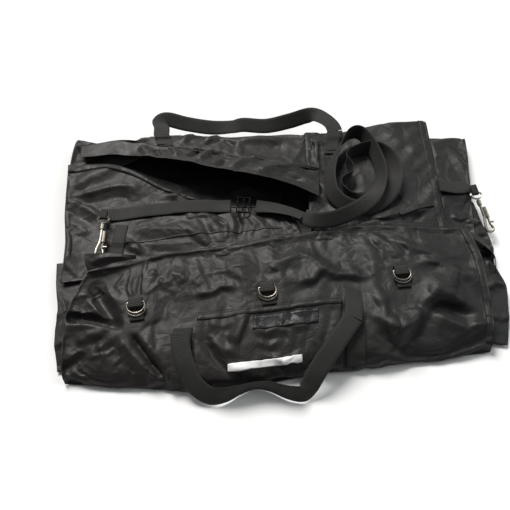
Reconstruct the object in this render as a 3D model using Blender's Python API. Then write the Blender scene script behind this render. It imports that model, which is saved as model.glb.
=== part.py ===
"""Long equipment holdall of coated nylon, empty and collapsed, lying flat.

Metres, +Z up, +X along the length, the pocket side towards -Y. The layout is written from the middle
of the near hem and moved by ORIGIN_X and ORIGIN_Y, so that the finished part is centred on its footprint.
Panels are thin closed sheets through small nets of points; webbing is a closed strip along a smooth
route; the metal fittings are built at their real section.
"""

import math

import bmesh
import bpy
from mathutils import Matrix, Vector

# ---- driving sizes ------------------------------------------------------------------------------
ORIGIN_X = 0.0497           # centre of the footprint, measured from the middle of the near hem
ORIGIN_Y = 0.3196
CLOTH = 0.0022              # thickness of a panel with its backing
WEBBING = 0.0018            # thickness of webbing
HANDLE_WIDTH = 0.040
STRAP_WIDTH = 0.038
TAB_WIDTH = 0.030
PLY = 0.0010                # thickness of a single ply of cloth sewn on a panel
INK = 0.0004
LIFT = 0.0016               # air between a panel and what is sewn on it
GAP = 0.0004                # least air between neighbouring pieces
BASE_THICK = 0.004

RING_WIDTH = 0.040          # outer width of a D-ring
RING_DEPTH = 0.026          # from the bar's axis to the far side of the bow
RING_WIRE = 0.0017          # radius of the wire
RING_STEP = 0.0052          # distance between the two bars along the tab
RING_RISE = 0.0041          # the upper ring lies this much above the lower one

HOOK_BAR = 0.0032           # radius of the spine
BOW_CENTRE = (0.0020, -0.0680)
BOW_RADIUS = 0.0085         # of the bow's centre line
BARREL_RADIUS = 0.0048
BARREL_BORE = 0.0030
BOLT_RADIUS = 0.0026
BARREL_SIDE = 0.0070        # the barrel's axis lies this far to the side of the spine
BARREL_TOP = -0.0120        # distances down the hook, from the collar's shoulder
BARREL_END = -0.0400
BOLT_NEAR = -0.0300
BOLT_TIP = -0.0600
EYE_WIRE = 0.0020
EYE_OUTLINE = [(-0.0138, -0.0030), (-0.0125, -0.0085), (-0.0070, -0.0135), (0.0, -0.0150), (0.0070, -0.0135),
               (0.0125, -0.0085), (0.0138, -0.0030), (0.0115, 0.0), (-0.0115, 0.0)]
PIN_PROFILE = [(0, -0.0290), (0.0040, -0.0290), (0.0040, -0.0268), (0.0017, -0.0266), (0.0017, -0.0148),
               (0, -0.0148)]      # radius and distance down the hook, here and in the collar
COLLAR_RADIUS = 0.0052
COLLAR_PROFILE = [(0.0024, -0.0010), (COLLAR_RADIUS, -0.0010), (COLLAR_RADIUS, -0.0150), (0, -0.0150),
                  (0, -0.0114), (0.0044, -0.0114), (0.0044, -0.0082), (0.0024, -0.0080), (0.0024, -0.0010)]
SWIVEL_DROP = 0.0180        # from the eye's bar to the swivel's frame
HOOK_DROP = 0.0100          # from the swivel's frame to the top of the spine
STUD_RADIUS = 0.0024
STUD_REACH = (0.0012, 0.0100)
STUD_DROP = -0.0520
LOOP_WIDTH = 0.016          # the strap's end, folded narrow through the eye
LOOP_LENGTH = 0.022
ADJUSTER_CENTRE = (-0.028, 0.394, 0.0560)
ADJUSTER_TURN = -4.0
ADJUSTER_HALF = (0.0160, 0.0240)
ADJUSTER_BAR = 0.0034
ADJUSTER_DEPTH = 0.0016     # half the thickness of the adjuster
PANEL_STEPS = {"near_side_panel": (36, 15), "top_near_panel": (16, 9), "far_side_panel": (15, 9),
               "top_far_panel": (9, 12), "right_end_panel": (4, 12), "mouth_lining": (8, 4),
               "left_end_fold": (4, 6), "right_end_fold": (4, 6), "left_corner_flap": (6, 4),
               "mouth_lip": (12, 3)}      # spans along and across each panel

# ---- nets of points: rows run from the near edge to the far edge, each row from left to right --------
NEAR_NET = [
    [(-0.388, -0.035, 0.0028), (-0.260, -0.043, 0.0028), (-0.124, -0.046, 0.0028), (0.020, -0.032, 0.0028),
     (0.160, -0.009, 0.0028), (0.330, 0.014, 0.0028), (0.494, 0.036, 0.0028)],
    [(-0.391, -0.022, 0.026), (-0.261, -0.030, 0.028), (-0.125, -0.033, 0.028), (0.020, -0.019, 0.028),
     (0.160, 0.004, 0.028), (0.330, 0.027, 0.028), (0.497, 0.050, 0.026)],
    [(-0.396, 0.030, 0.040), (-0.262, 0.021, 0.044), (-0.127, 0.018, 0.044), (0.021, 0.032, 0.044),
     (0.162, 0.050, 0.045), (0.332, 0.072, 0.045), (0.503, 0.100, 0.040)],
    [(-0.398, 0.100, 0.048), (-0.253, 0.118, 0.056), (-0.116, 0.136, 0.058), (0.024, 0.155, 0.058),
     (0.168, 0.176, 0.058), (0.323, 0.199, 0.058), (0.508, 0.222, 0.050)],
    [(-0.384, 0.158, 0.052), (-0.254, 0.176, 0.062), (-0.140, 0.198, 0.063), (0.004, 0.219, 0.063),
     (0.152, 0.246, 0.063), (0.302, 0.267, 0.063), (0.500, 0.278, 0.056)],
    [(-0.368, 0.208, 0.052), (-0.256, 0.235, 0.055), (-0.166, 0.262, 0.055), (-0.021, 0.284, 0.055),
     (0.130, 0.316, 0.056), (0.279, 0.334, 0.056), (0.488, 0.328, 0.052)],
]
MIDDLE_NET = [
    [(-0.428, 0.190, 0.034), (-0.300, 0.205, 0.038), (-0.170, 0.235, 0.040), (-0.030, 0.255, 0.040),
     (0.118, 0.285, 0.042)],
    [(-0.436, 0.290, 0.038), (-0.310, 0.300, 0.044), (-0.180, 0.318, 0.046), (-0.040, 0.330, 0.047),
     (0.102, 0.340, 0.048)],
    [(-0.452, 0.385, 0.040), (-0.320, 0.392, 0.046), (-0.190, 0.382, 0.047), (-0.050, 0.368, 0.046),
     (0.083, 0.372, 0.046)],
    [(-0.468, 0.532, 0.046), (-0.335, 0.526, 0.046), (-0.200, 0.449, 0.043), (-0.070, 0.404, 0.041),
     (0.066, 0.402, 0.043)],
]
FAR_NET = [
    [(-0.466, 0.545, 0.050), (-0.345, 0.596, 0.063), (-0.225, 0.572, 0.066), (-0.115, 0.549, 0.068),
     (0.000, 0.526, 0.070), (0.100, 0.506, 0.070)],
    [(-0.466, 0.590, 0.042), (-0.345, 0.606, 0.056), (-0.230, 0.600, 0.063), (-0.115, 0.585, 0.065),
     (0.000, 0.580, 0.065), (0.110, 0.570, 0.060)],
    [(-0.464, 0.634, 0.032), (-0.348, 0.614, 0.040), (-0.240, 0.636, 0.048), (-0.115, 0.626, 0.050),
     (0.000, 0.632, 0.048), (0.120, 0.636, 0.048)],
    [(-0.460, 0.644, 0.010), (-0.348, 0.626, 0.012), (-0.240, 0.650, 0.012), (-0.115, 0.644, 0.012),
     (0.000, 0.650, 0.012), (0.122, 0.654, 0.012)],
]
LIP_NET = [
    [(-0.335, 0.552, 0.064), (-0.232, 0.516, 0.084), (-0.131, 0.483, 0.098), (-0.012, 0.455, 0.098),
     (0.088, 0.436, 0.080)],
    [(-0.334, 0.588, 0.064), (-0.227, 0.566, 0.066), (-0.117, 0.543, 0.068), (-0.002, 0.520, 0.070),
     (0.092, 0.501, 0.072)],
]
LID_NET = [
    [(0.132, 0.285, 0.040), (0.225, 0.300, 0.041), (0.325, 0.305, 0.041), (0.436, 0.298, 0.038)],
    [(0.128, 0.400, 0.048), (0.222, 0.410, 0.052), (0.322, 0.415, 0.052), (0.438, 0.410, 0.044)],
    [(0.126, 0.520, 0.056), (0.222, 0.525, 0.060), (0.325, 0.530, 0.058), (0.440, 0.530, 0.048)],
    [(0.128, 0.635, 0.050), (0.222, 0.640, 0.052), (0.325, 0.664, 0.052), (0.444, 0.685, 0.042)],
    [(0.130, 0.652, 0.012), (0.222, 0.660, 0.012), (0.327, 0.684, 0.012), (0.446, 0.700, 0.012)],
]
RIGHT_END_NET = [
    [(0.451, 0.290, 0.030), (0.482, 0.292, 0.030), (0.512, 0.300, 0.026)],
    [(0.451, 0.400, 0.038), (0.490, 0.400, 0.038), (0.522, 0.400, 0.030)],
    [(0.452, 0.520, 0.040), (0.500, 0.520, 0.040), (0.538, 0.520, 0.034)],
    [(0.454, 0.632, 0.034), (0.505, 0.634, 0.034), (0.551, 0.636, 0.030)],
    [(0.455, 0.650, 0.010), (0.506, 0.651, 0.010), (0.552, 0.650, 0.010)],
]
LINING_NET = [
    [(-0.330, 0.452, 0.030), (-0.150, 0.400, 0.030), (0.060, 0.380, 0.030)],
    [(-0.330, 0.520, 0.032), (-0.150, 0.480, 0.033), (0.070, 0.470, 0.032)],
    [(-0.330, 0.596, 0.034), (-0.150, 0.570, 0.035), (0.080, 0.560, 0.034)],
]
LEFT_FOLD_NET = [
    [(-0.409, -0.009, 0.0068), (-0.380, -0.005, 0.0068), (-0.330, 0.000, 0.0068)],
    [(-0.424, 0.060, 0.016), (-0.385, 0.060, 0.020), (-0.330, 0.060, 0.022)],
    [(-0.428, 0.130, 0.020), (-0.385, 0.130, 0.026), (-0.330, 0.130, 0.028)],
    [(-0.430, 0.180, 0.020), (-0.385, 0.186, 0.026), (-0.330, 0.190, 0.028)],
]
RIGHT_FOLD_NET = [
    [(0.400, 0.062, 0.0070), (0.470, 0.058, 0.0070), (0.534, 0.052, 0.0070)],
    [(0.400, 0.120, 0.018), (0.480, 0.120, 0.018), (0.550, 0.120, 0.014)],
    [(0.400, 0.190, 0.024), (0.490, 0.190, 0.024), (0.560, 0.188, 0.018)],
    [(0.400, 0.245, 0.026), (0.490, 0.250, 0.024), (0.556, 0.250, 0.020)],
]
CORNER_NET = [
    [(-0.366, 0.205, 0.0590), (-0.310, 0.222, 0.0640), (-0.262, 0.234, 0.0635)],
    [(-0.374, 0.224, 0.0680), (-0.330, 0.230, 0.0730), (-0.262, 0.237, 0.0665)],
    [(-0.376, 0.242, 0.0720), (-0.336, 0.242, 0.0770), (-0.262, 0.240, 0.0690)],
]
BASE_OUTLINE = [(-0.372, -0.012), (-0.124, -0.018), (0.160, 0.020), (0.470, 0.064), (0.500, 0.200),
                (0.500, 0.560), (0.430, 0.640), (0.200, 0.620), (-0.100, 0.600), (-0.440, 0.600),
                (-0.436, 0.300), (-0.398, 0.100)]

# ---- webbing routes: x, y, z and the lean of the strip in degrees (0 lies flat, 90 stands on edge) ---
NEAR_HANDLE_ROUTE = [
    (0.203, 0.084, 0.0680, 2), (0.178, 0.050, 0.0630, 4), (0.149, 0.010, 0.0530, 8),
    (0.124, -0.024, 0.0390, 12), (0.108, -0.048, 0.0240, 26), (0.094, -0.062, 0.0200, 56),
    (0.066, -0.060, 0.0215, 70), (0.030, -0.048, 0.0215, 84), (0.000, -0.046, 0.0215, 92),
    (-0.030, -0.055, 0.0215, 84), (-0.062, -0.066, 0.0210, 64), (-0.092, -0.066, 0.0215, 48),
    (-0.121, -0.046, 0.0310, 30), (-0.140, -0.012, 0.0470, 12), (-0.150, 0.022, 0.0570, 4),
    (-0.153, 0.052, 0.0620, 0)]
FAR_HANDLE_ROUTE = [
    (-0.238, 0.612, 0.0710, 0), (-0.240, 0.640, 0.0690, -10), (-0.248, 0.668, 0.0610, -28),
    (-0.228, 0.688, 0.0520, -40), (-0.180, 0.682, 0.0420, -38), (-0.115, 0.674, 0.0360, -34),
    (-0.060, 0.677, 0.0360, -22), (-0.015, 0.674, 0.0360, -44), (0.045, 0.675, 0.0380, -34),
    (0.100, 0.688, 0.0460, -52), (0.156, 0.7030, 0.0540, -40), (0.190, 0.690, 0.0630, -30),
    (0.206, 0.662, 0.0700, -12), (0.208, 0.632, 0.0700, 0)]
LEFT_RUN_ROUTE = [(-0.346, 0.376, 0.0510, 0), (-0.300, 0.384, 0.0520, 0), (-0.235, 0.393, 0.0525, 0),
                  (-0.160, 0.398, 0.0515, 0), (-0.058, 0.399, 0.0500, 0)]
MIDDLE_RUN_ROUTE = [(0.002, 0.392, 0.0540, 0), (0.040, 0.386, 0.0560, 10), (0.080, 0.372, 0.0600, 20),
                    (0.112, 0.356, 0.0620, 24)]
RIGHT_RUN_ROUTE = [(0.448, 0.461, 0.0510, 0), (0.466, 0.460, 0.0480, 0), (0.484, 0.458, 0.0455, 0),
                   (0.502, 0.460, 0.0430, 0), (0.513, 0.464, 0.0414, 0), (0.527, 0.4710, 0.0380, 0)]
LEFT_END_ROUTE = [(-0.312, 0.348, 0.0545, 0), (-0.314, 0.300, 0.0545, 0), (-0.316, 0.258, 0.0530, 0)]
RIGHT_END_ROUTE = [(0.505, 0.320, 0.0375, 10), (0.521, 0.301, 0.0370, 30), (0.534, 0.282, 0.0350, 50),
                   (0.5435, 0.257, 0.0345, 66), (0.5395, 0.224, 0.0325, 74)]
NEAR_LEGS = {"left": (0.281, 0.323), "right": (0.694, 0.734)}
FAR_LEGS = {"left": (0.365, 0.434), "right": (0.180, 0.304)}
COIL_CENTRE = (0.236, 0.476)
COIL_RADII = (0.090, 0.132)
COIL_SECTION = (0.018, 0.016)     # half the thickness across the turns, half the height
COIL_HEIGHT = 0.0830              # height of the coil's centre line above the floor

# ---- places of the fittings ------------------------------------------------------------------------
RING_PLACES = {"left": (0.170, 0.600), "middle": (0.502, 0.600), "right": (0.828, 0.600)}
LEFT_HOOK = ((-0.352, 0.354, 0.0580), -90.0, -4.0)      # eye's pivot, heading and slope in degrees
RIGHT_HOOK = ((0.534, 0.440, 0.0440), -78.0, -12.0)

BLACK_CLOTH = ("coated_nylon", (0.020, 0.019, 0.020), 0.42, 0.0)
DARK_LINING = ("dark_lining", (0.008, 0.008, 0.008), 0.70, 0.0)
BLACK_WEBBING = ("webbing", (0.030, 0.029, 0.025), 0.75, 0.0)
GLOSSY_TRIM = ("glossy_trim", (0.012, 0.012, 0.013), 0.22, 0.0)
WHITE_PRINT = ("white_print", (0.80, 0.80, 0.80), 0.55, 0.0)
NICKEL = ("nickel", (0.78, 0.76, 0.72), 0.22, 1.0)
BLACK_METAL = ("black_metal", (0.05, 0.05, 0.05), 0.30, 1.0)


# ---- scene helpers ---------------------------------------------------------------------------------
def clear_scene():
    for item in list(bpy.data.objects):
        bpy.data.objects.remove(item, do_unlink=True)


def material_for(spec, name):
    """A Principled material of the node's own."""
    label, colour, roughness, metallic = spec
    made = bpy.data.materials.new(f"{label}_{name}")
    made.use_nodes = True
    shader = made.node_tree.nodes["Principled BSDF"]
    shader.inputs["Base Color"].default_value = (*colour, 1.0)
    shader.inputs["Roughness"].default_value = roughness
    shader.inputs["Metallic"].default_value = metallic
    return made


def add_object(name, bm, spec, parent=None, smooth=False):
    """Turns a bmesh into a named object with its own material, under an empty if one is given."""
    bmesh.ops.recalc_face_normals(bm, faces=bm.faces)
    mesh = bpy.data.meshes.new(name)
    bm.to_mesh(mesh)
    bm.free()
    if smooth:
        mesh.shade_smooth()
    made = bpy.data.objects.new(name, mesh)
    made.data.materials.append(material_for(spec, name))
    bpy.context.scene.collection.objects.link(made)
    if parent is not None:
        made.parent = parent
    return made


def add_pivot(name, matrix, parent=None):
    """An empty on a joint's axis; the moving pieces hang from it."""
    pivot = bpy.data.objects.new(name, None)
    bpy.context.scene.collection.objects.link(pivot)
    pivot.parent = parent
    pivot.matrix_local = matrix
    return pivot


def laid_out(point):
    """From the near-hem layout to the part's own frame."""
    return Vector((point[0] - ORIGIN_X, point[1] - ORIGIN_Y, point[2]))


# ---- smooth curves and sheets ----------------------------------------------------------------------
def spline_at(points, t):
    """Catmull-Rom through the points, t from 0 to 1, for points of any length."""
    spans = len(points) - 1
    place = min(max(t, 0.0), 1.0) * spans
    i = min(int(place), spans - 1)
    f = place - i
    p1 = points[i]
    p2 = points[i + 1]
    p0 = points[i - 1] if i > 0 else [2 * a - b for a, b in zip(p1, p2)]
    p3 = points[i + 2] if i + 2 <= spans else [2 * b - a for a, b in zip(p1, p2)]
    return [0.5 * (2 * b + (c - a) * f + (2 * a - 5 * b + 4 * c - d) * f * f
                   + (3 * b - a - 3 * c + d) * f ** 3) for a, b, c, d in zip(p0, p1, p2, p3)]


def sheet_at(net, u, v):
    """Point of the smooth sheet through a net: u from left to right, v from the near row to the far row."""
    return laid_out(spline_at([spline_at(row, u) for row in net], v))


def sheet_grid(net, columns, rows):
    return [[sheet_at(net, i / columns, j / rows) for i in range(columns + 1)] for j in range(rows + 1)]


def normals_of(grid):
    """Unit normals of a grid of points, from its central differences."""
    rows = len(grid)
    columns = len(grid[0])
    normals = []
    for j in range(rows):
        line = []
        for i in range(columns):
            along = grid[j][min(i + 1, columns - 1)] - grid[j][max(i - 1, 0)]
            across = grid[min(j + 1, rows - 1)][i] - grid[max(j - 1, 0)][i]
            line.append(along.cross(across).normalized())
        normals.append(line)
    return normals


def closed_sheet(top, bottom):
    """A closed slab between two grids of the same size."""
    bm = bmesh.new()
    rows = len(top)
    columns = len(top[0])
    upper = [[bm.verts.new(p) for p in line] for line in top]
    lower = [[bm.verts.new(p) for p in line] for line in bottom]
    for j in range(rows - 1):
        for i in range(columns - 1):
            bm.faces.new((upper[j][i], upper[j][i + 1], upper[j + 1][i + 1], upper[j + 1][i]))
            bm.faces.new((lower[j][i], lower[j + 1][i], lower[j + 1][i + 1], lower[j][i + 1]))
    rim_upper = edge_loop(upper)
    rim_lower = edge_loop(lower)
    count = len(rim_upper)
    for k in range(count):
        n = (k + 1) % count
        bm.faces.new((rim_upper[k], rim_lower[k], rim_lower[n], rim_upper[n]))
    return bm


def edge_loop(grid):
    """The outer vertices of a grid, once round."""
    near = grid[0][:-1]
    right = [line[-1] for line in grid[:-1]]
    far = grid[-1][:0:-1]
    left = [line[0] for line in grid[:0:-1]]
    return near + right + far + left


def moved_along(grid, normals, distance):
    return [[p + n * distance for p, n in zip(line, normal)] for line, normal in zip(grid, normals)]


def panel(name, net, spec=BLACK_CLOTH, parent=None):
    """A thin closed cloth panel through a net, its upper face on the net."""
    grid = sheet_grid(net, *PANEL_STEPS[name])
    under = moved_along(grid, normals_of(grid), -CLOTH)
    if parent is not None:
        back = parent.matrix_world.inverted()
        grid = [[back @ p for p in line] for line in grid]
        under = [[back @ p for p in line] for line in under]
    return add_object(name, closed_sheet(grid, under), spec, parent, smooth=True)


def sheet_frame(net, u, v):
    """Point and unit normal of the smooth sheet through a net."""
    step = 0.002
    point = sheet_at(net, u, v)
    along = sheet_at(net, min(u + step, 1.0), v) - sheet_at(net, max(u - step, 0.0), v)
    across = sheet_at(net, u, min(v + step, 1.0)) - sheet_at(net, u, max(v - step, 0.0))
    return point, along.cross(across).normalized()


def sewn_patch(name, net, span_u, span_v, counts, lift, thickness, spec, parent=None):
    """A closed patch sewn on a panel, between two places along it (u) and two across it (v)."""
    columns, rows = counts
    back = parent.matrix_world.inverted() if parent is not None else Matrix.Identity(4)
    top = []
    bottom = []
    for j in range(rows + 1):
        v = span_v[0] + (span_v[1] - span_v[0]) * j / rows
        pairs = [sheet_frame(net, span_u[0] + (span_u[1] - span_u[0]) * i / columns, v)
                 for i in range(columns + 1)]
        bottom.append([back @ (p + n * lift) for p, n in pairs])
        top.append([back @ (p + n * (lift + thickness)) for p, n in pairs])
    return add_object(name, closed_sheet(top, bottom), spec, parent, smooth=True)


# ---- webbing ---------------------------------------------------------------------------------------
def strip(name, route, width, steps, parent=None):
    """A closed strip of webbing along a route of x, y, z and lean, level across where the lean is 0."""
    half = width / 2
    top = []
    bottom = []
    for k in range(steps + 1):
        t = k / steps
        x, y, z, lean = spline_at(route, t)
        ahead = spline_at(route, min(t + 0.01, 1.0))
        behind = spline_at(route, max(t - 0.01, 0.0))
        tangent = (Vector(ahead[:3]) - Vector(behind[:3])).normalized()
        side = tangent.cross(Vector((0, 0, 1))).normalized()
        rise = side.cross(tangent)
        angle = math.radians(lean)
        across = side * math.cos(angle) + rise * math.sin(angle)
        normal = across.cross(tangent).normalized()
        centre = laid_out((x, y, z))
        top.append([centre + across * s * half + normal * WEBBING / 2 for s in (-1, 0, 1)])
        bottom.append([centre + across * s * half - normal * WEBBING / 2 for s in (-1, 0, 1)])
    if parent is not None:
        back = parent.matrix_world.inverted()
        top = [[back @ p for p in line] for line in top]
        bottom = [[back @ p for p in line] for line in bottom]
    return add_object(name, closed_sheet(top, bottom), BLACK_WEBBING, parent, smooth=False)


def ring_solid(path, level_radius, upright_radius, sides):
    """A closed round or oval bar along a closed list of points that lie in the local XY plane."""
    bm = bmesh.new()
    count = len(path)
    loops = []
    for k in range(count):
        tangent = (path[(k + 1) % count] - path[k - 1]).normalized()
        side = tangent.cross(Vector((0, 0, 1))).normalized()
        loop = []
        for s in range(sides):
            angle = 2 * math.pi * s / sides
            offset = side * level_radius * math.cos(angle) + Vector((0, 0, upright_radius * math.sin(angle)))
            loop.append(bm.verts.new(path[k] + offset))
        loops.append(loop)
    for k in range(count):
        here = loops[k]
        there = loops[(k + 1) % count]
        for s in range(sides):
            n = (s + 1) % sides
            bm.faces.new((here[s], here[n], there[n], there[s]))
    return bm


def d_path(width, depth, radius):
    """Centre line of a D-ring in its own plane: the bar along X at y = 0, the bow towards -Y."""
    half = width / 2 - radius
    drop = depth - radius
    corner = 0.004
    shoulder = drop * 0.40
    points = [Vector((half - corner, 0, 0)), Vector((0, 0, 0)), Vector((-half + corner, 0, 0)),
              Vector((-half + corner * 0.3, -corner * 0.3, 0)), Vector((-half, -corner, 0)),
              Vector((-half, -shoulder, 0))]
    for k in range(1, 12):
        angle = math.pi * k / 12
        points.append(Vector((-half * math.cos(angle), -shoulder - (drop - shoulder) * math.sin(angle), 0)))
    points += [Vector((half, -shoulder, 0)), Vector((half, -corner, 0)),
               Vector((half - corner * 0.3, -corner * 0.3, 0))]
    return points


# ---- the ring tabs ---------------------------------------------------------------------------------
def tab_matrix(u, v):
    """Frame on the near panel: X along the length, Y up the slope, Z off the cloth."""
    point, normal = sheet_frame(NEAR_NET, u, v)
    ahead, _ = sheet_frame(NEAR_NET, u + 0.01, v)
    along = (ahead - point).normalized()
    across = normal.cross(along).normalized()
    return Matrix((
        (along.x, across.x, normal.x, point.x), (along.y, across.y, normal.y, point.y),
        (along.z, across.z, normal.z, point.z), (0, 0, 0, 1)))


def tab_solid():
    """Webbing folded over the two bars and sewn down, drawn as a section swept across its width."""
    half = TAB_WIDTH / 2
    foot = LIFT + 0.0004
    flat = foot + 0.0022
    floor = foot + WEBBING
    crown = LIFT + 2 * RING_WIRE + RING_RISE + 0.0056
    inner = crown - WEBBING
    section = [(-0.034, foot), (0.010, foot), (0.0165, foot + 0.004), (0.0148, crown - 0.002),
               (0.0085, crown), (-0.0050, crown), (-0.0080, crown - 0.002), (-0.0125, flat), (-0.034, flat)]
    hollow = [(-0.0098, floor), (0.010, floor), (0.0145, foot + 0.0044), (0.0130, inner - 0.001),
              (0.0078, inner), (-0.0045, inner), (-0.0062, inner - 0.0012)]
    bm = bmesh.new()
    loops = []
    for side in (-half, half):
        outer = [bm.verts.new((side, y, z)) for y, z in section]
        inside = [bm.verts.new((side, y, z)) for y, z in hollow]
        edges = [bm.edges.new((ring[k], ring[(k + 1) % len(ring)])) for ring in (outer, inside)
                 for k in range(len(ring))]
        bmesh.ops.triangle_fill(bm, use_beauty=True, edges=edges)
        loops.append((outer, inside))
    for k in range(2):
        left = loops[0][k]
        right = loops[1][k]
        for i in range(len(left)):
            n = (i + 1) % len(left)
            bm.faces.new((left[i], left[n], right[n], right[i]))
    return bm


def build_ring_tab(side, u, v):
    """One sewn tab with its two D-rings, each on a pivot along its bar."""
    frame = tab_matrix(u, v)
    tab_pivot = add_pivot(f"tab_{side}_place", frame)
    add_object(f"ring_tab_{side}", tab_solid(), BLACK_WEBBING, tab_pivot)
    low = LIFT + 0.0004 + WEBBING + GAP * 2 + RING_WIRE
    for level, name in enumerate(("lower", "upper")):
        offset = Matrix.Translation((0, level * RING_STEP - 0.001, low + level * RING_RISE))
        pivot = add_pivot(f"d_ring_{side}_{name}_pivot", frame @ offset)
        bow = ring_solid(d_path(RING_WIDTH, RING_DEPTH, RING_WIRE), RING_WIRE, RING_WIRE, 8)
        add_object(f"d_ring_{side}_{name}", bow, NICKEL, pivot, smooth=True)


# ---- the snap hooks --------------------------------------------------------------------------------
def wire_along(points, radius, sides):
    """A capped round bar through points in the local XY plane."""
    bm = bmesh.new()
    loops = []
    last = len(points) - 1
    for k, point in enumerate(points):
        tangent = (points[min(k + 1, last)] - points[max(k - 1, 0)]).normalized()
        side = tangent.cross(Vector((0, 0, 1))).normalized()
        loop = []
        for s in range(sides):
            angle = 2 * math.pi * s / sides
            offset = side * math.cos(angle) + Vector((0, 0, 1)) * math.sin(angle)
            loop.append(bm.verts.new(point + offset * radius))
        loops.append(loop)
    for here, there in zip(loops, loops[1:]):
        for s in range(sides):
            n = (s + 1) % sides
            bm.faces.new((here[s], here[n], there[n], there[s]))
    bm.faces.new(loops[0][::-1])
    bm.faces.new(loops[-1])
    return bm


def turned(profile, sides):
    """A closed solid turned about the local Y axis from a closed profile of radius and distance."""
    bm = bmesh.new()
    rings = []
    for radius, distance in profile:
        if radius < 1e-6:
            rings.append([bm.verts.new((0, distance, 0))])
            continue
        rings.append([bm.verts.new((radius * math.cos(2 * math.pi * s / sides), distance,
                                    radius * math.sin(2 * math.pi * s / sides))) for s in range(sides)])
    for here, there in zip(rings, rings[1:]):
        if len(here) == len(there) == 1:
            continue
        for s in range(sides):
            n = (s + 1) % sides
            if len(here) == 1:
                bm.faces.new((here[0], there[s], there[n]))
            elif len(there) == 1:
                bm.faces.new((here[s], here[n], there[0]))
            else:
                bm.faces.new((here[s], here[n], there[n], there[s]))
    return bm


def joined(name, solids, spec, parent):
    """One solid from several closed ones, by exact Boolean unions applied in turn."""
    first = add_object(name, solids[0], spec, parent, smooth=True)
    for k, solid in enumerate(solids[1:]):
        other = add_object(f"{name}_cutter_{k}", solid, spec, parent)
        step = first.modifiers.new("union", "BOOLEAN")
        step.operation = "UNION"
        step.solver = "EXACT"
        step.object = other
        other.hide_render = True
        other.display_type = "WIRE"
    return first


def spine_points():
    """Down the spine, out and round the bow, and up to the point that the bolt meets."""
    points = [Vector((0, -0.002, 0)), Vector((0, -0.020, 0)), Vector((0, -0.036, 0)),
              Vector((-0.0030, -0.048, 0)), Vector((-0.0060, -0.060, 0))]
    for k in range(9):
        angle = math.pi * k / 8
        points.append(Vector((BOW_CENTRE[0] - BOW_RADIUS * math.cos(angle),
                              BOW_CENTRE[1] - BOW_RADIUS * math.sin(angle), 0)))
    points.append(Vector((BARREL_SIDE + 0.0018, BOLT_TIP - GAP, 0)))
    return points


def hook_frame(place):
    """Frame of a hook: -Y runs down the hook, +X is the side of the barrel and bolt, +Z is up."""
    point, heading, slope = place
    turn = Matrix.Rotation(math.radians(heading + 90.0), 4, "Z")
    tilt = Matrix.Rotation(math.radians(-slope), 4, "X")
    return Matrix.Translation(laid_out(point)) @ turn @ tilt


def bar_loop(name, frame):
    """The strap's folded end, once round the eye's bar and back."""
    around = EYE_WIRE + 0.0007 + WEBBING / 2
    centre = [(LOOP_LENGTH, -around), (LOOP_LENGTH / 2, -around), (0.0, -around)]
    for k in range(1, 8):
        angle = math.pi * k / 8
        centre.append((-around * math.sin(angle), -around * math.cos(angle)))
    centre += [(0.0, around), (LOOP_LENGTH / 2, around), (LOOP_LENGTH, around)]
    inner = []
    outer = []
    last = len(centre) - 1
    for k, (y, z) in enumerate(centre):
        ahead = Vector(centre[min(k + 1, last)])
        behind = Vector(centre[max(k - 1, 0)])
        tangent = (ahead - behind).normalized()
        normal = Vector((tangent.y, -tangent.x)) * WEBBING / 2
        outer.append([Vector((x, y + normal.x, z + normal.y)) for x in (-LOOP_WIDTH / 2, LOOP_WIDTH / 2)])
        inner.append([Vector((x, y - normal.x, z - normal.y)) for x in (-LOOP_WIDTH / 2, LOOP_WIDTH / 2)])
    add_object(name, closed_sheet(outer, inner), BLACK_WEBBING, add_pivot(f"{name}_place", frame))


def build_hook(side, place):
    """Swivel eye, collar, hook body with its barrel, bolt with thumb stud, and the bolt's spring."""
    frame = hook_frame(place)
    bar_loop(f"{side}_strap_loop", frame)
    eye_pivot = add_pivot(f"{side}_hook_eye_pivot", frame)
    eye_bow = ring_solid([Vector((x, y, 0)) for x, y in EYE_OUTLINE], EYE_WIRE, EYE_WIRE, 8)
    pin = turned(PIN_PROFILE, 12)
    joined(f"{side}_hook_eye", [eye_bow, pin], NICKEL, eye_pivot)
    swivel = add_pivot(f"{side}_hook_swivel_pivot", frame @ Matrix.Translation((0, -SWIVEL_DROP, 0)))
    collar = turned(COLLAR_PROFILE, 16)
    bmesh.ops.remove_doubles(collar, verts=collar.verts, dist=1e-6)
    spine = wire_along([p + Vector((0, -HOOK_DROP, 0)) for p in spine_points()], HOOK_BAR, 10)
    barrel = turned([(BARREL_BORE, BARREL_END), (BARREL_RADIUS, BARREL_END), (BARREL_RADIUS, BARREL_TOP),
                     (0, BARREL_TOP), (0, BARREL_TOP - 0.002), (BARREL_BORE, BARREL_TOP - 0.002),
                     (BARREL_BORE, BARREL_END)], 16)
    bmesh.ops.remove_doubles(barrel, verts=barrel.verts, dist=1e-6)
    bmesh.ops.translate(barrel, verts=barrel.verts, vec=(BARREL_SIDE, -HOOK_DROP, 0))
    joined(f"{side}_hook_body", [spine, collar, barrel], NICKEL, swivel)
    bolt_place = Matrix.Translation((BARREL_SIDE, -SWIVEL_DROP - HOOK_DROP, 0))
    slide = add_pivot(f"{side}_hook_bolt_pivot", frame @ bolt_place)
    rod = turned([(0, BOLT_TIP), (0.0016, BOLT_TIP), (BOLT_RADIUS, BOLT_TIP + 0.0012),
                  (BOLT_RADIUS, BOLT_NEAR), (0, BOLT_NEAR)], 12)
    stud = wire_along([Vector((reach, STUD_DROP, 0)) for reach in STUD_REACH], STUD_RADIUS, 10)
    joined(f"{side}_hook_bolt", [rod, stud], NICKEL, slide)
    add_object(f"{side}_hook_spring", spring_solid(), NICKEL, slide, smooth=True)


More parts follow.
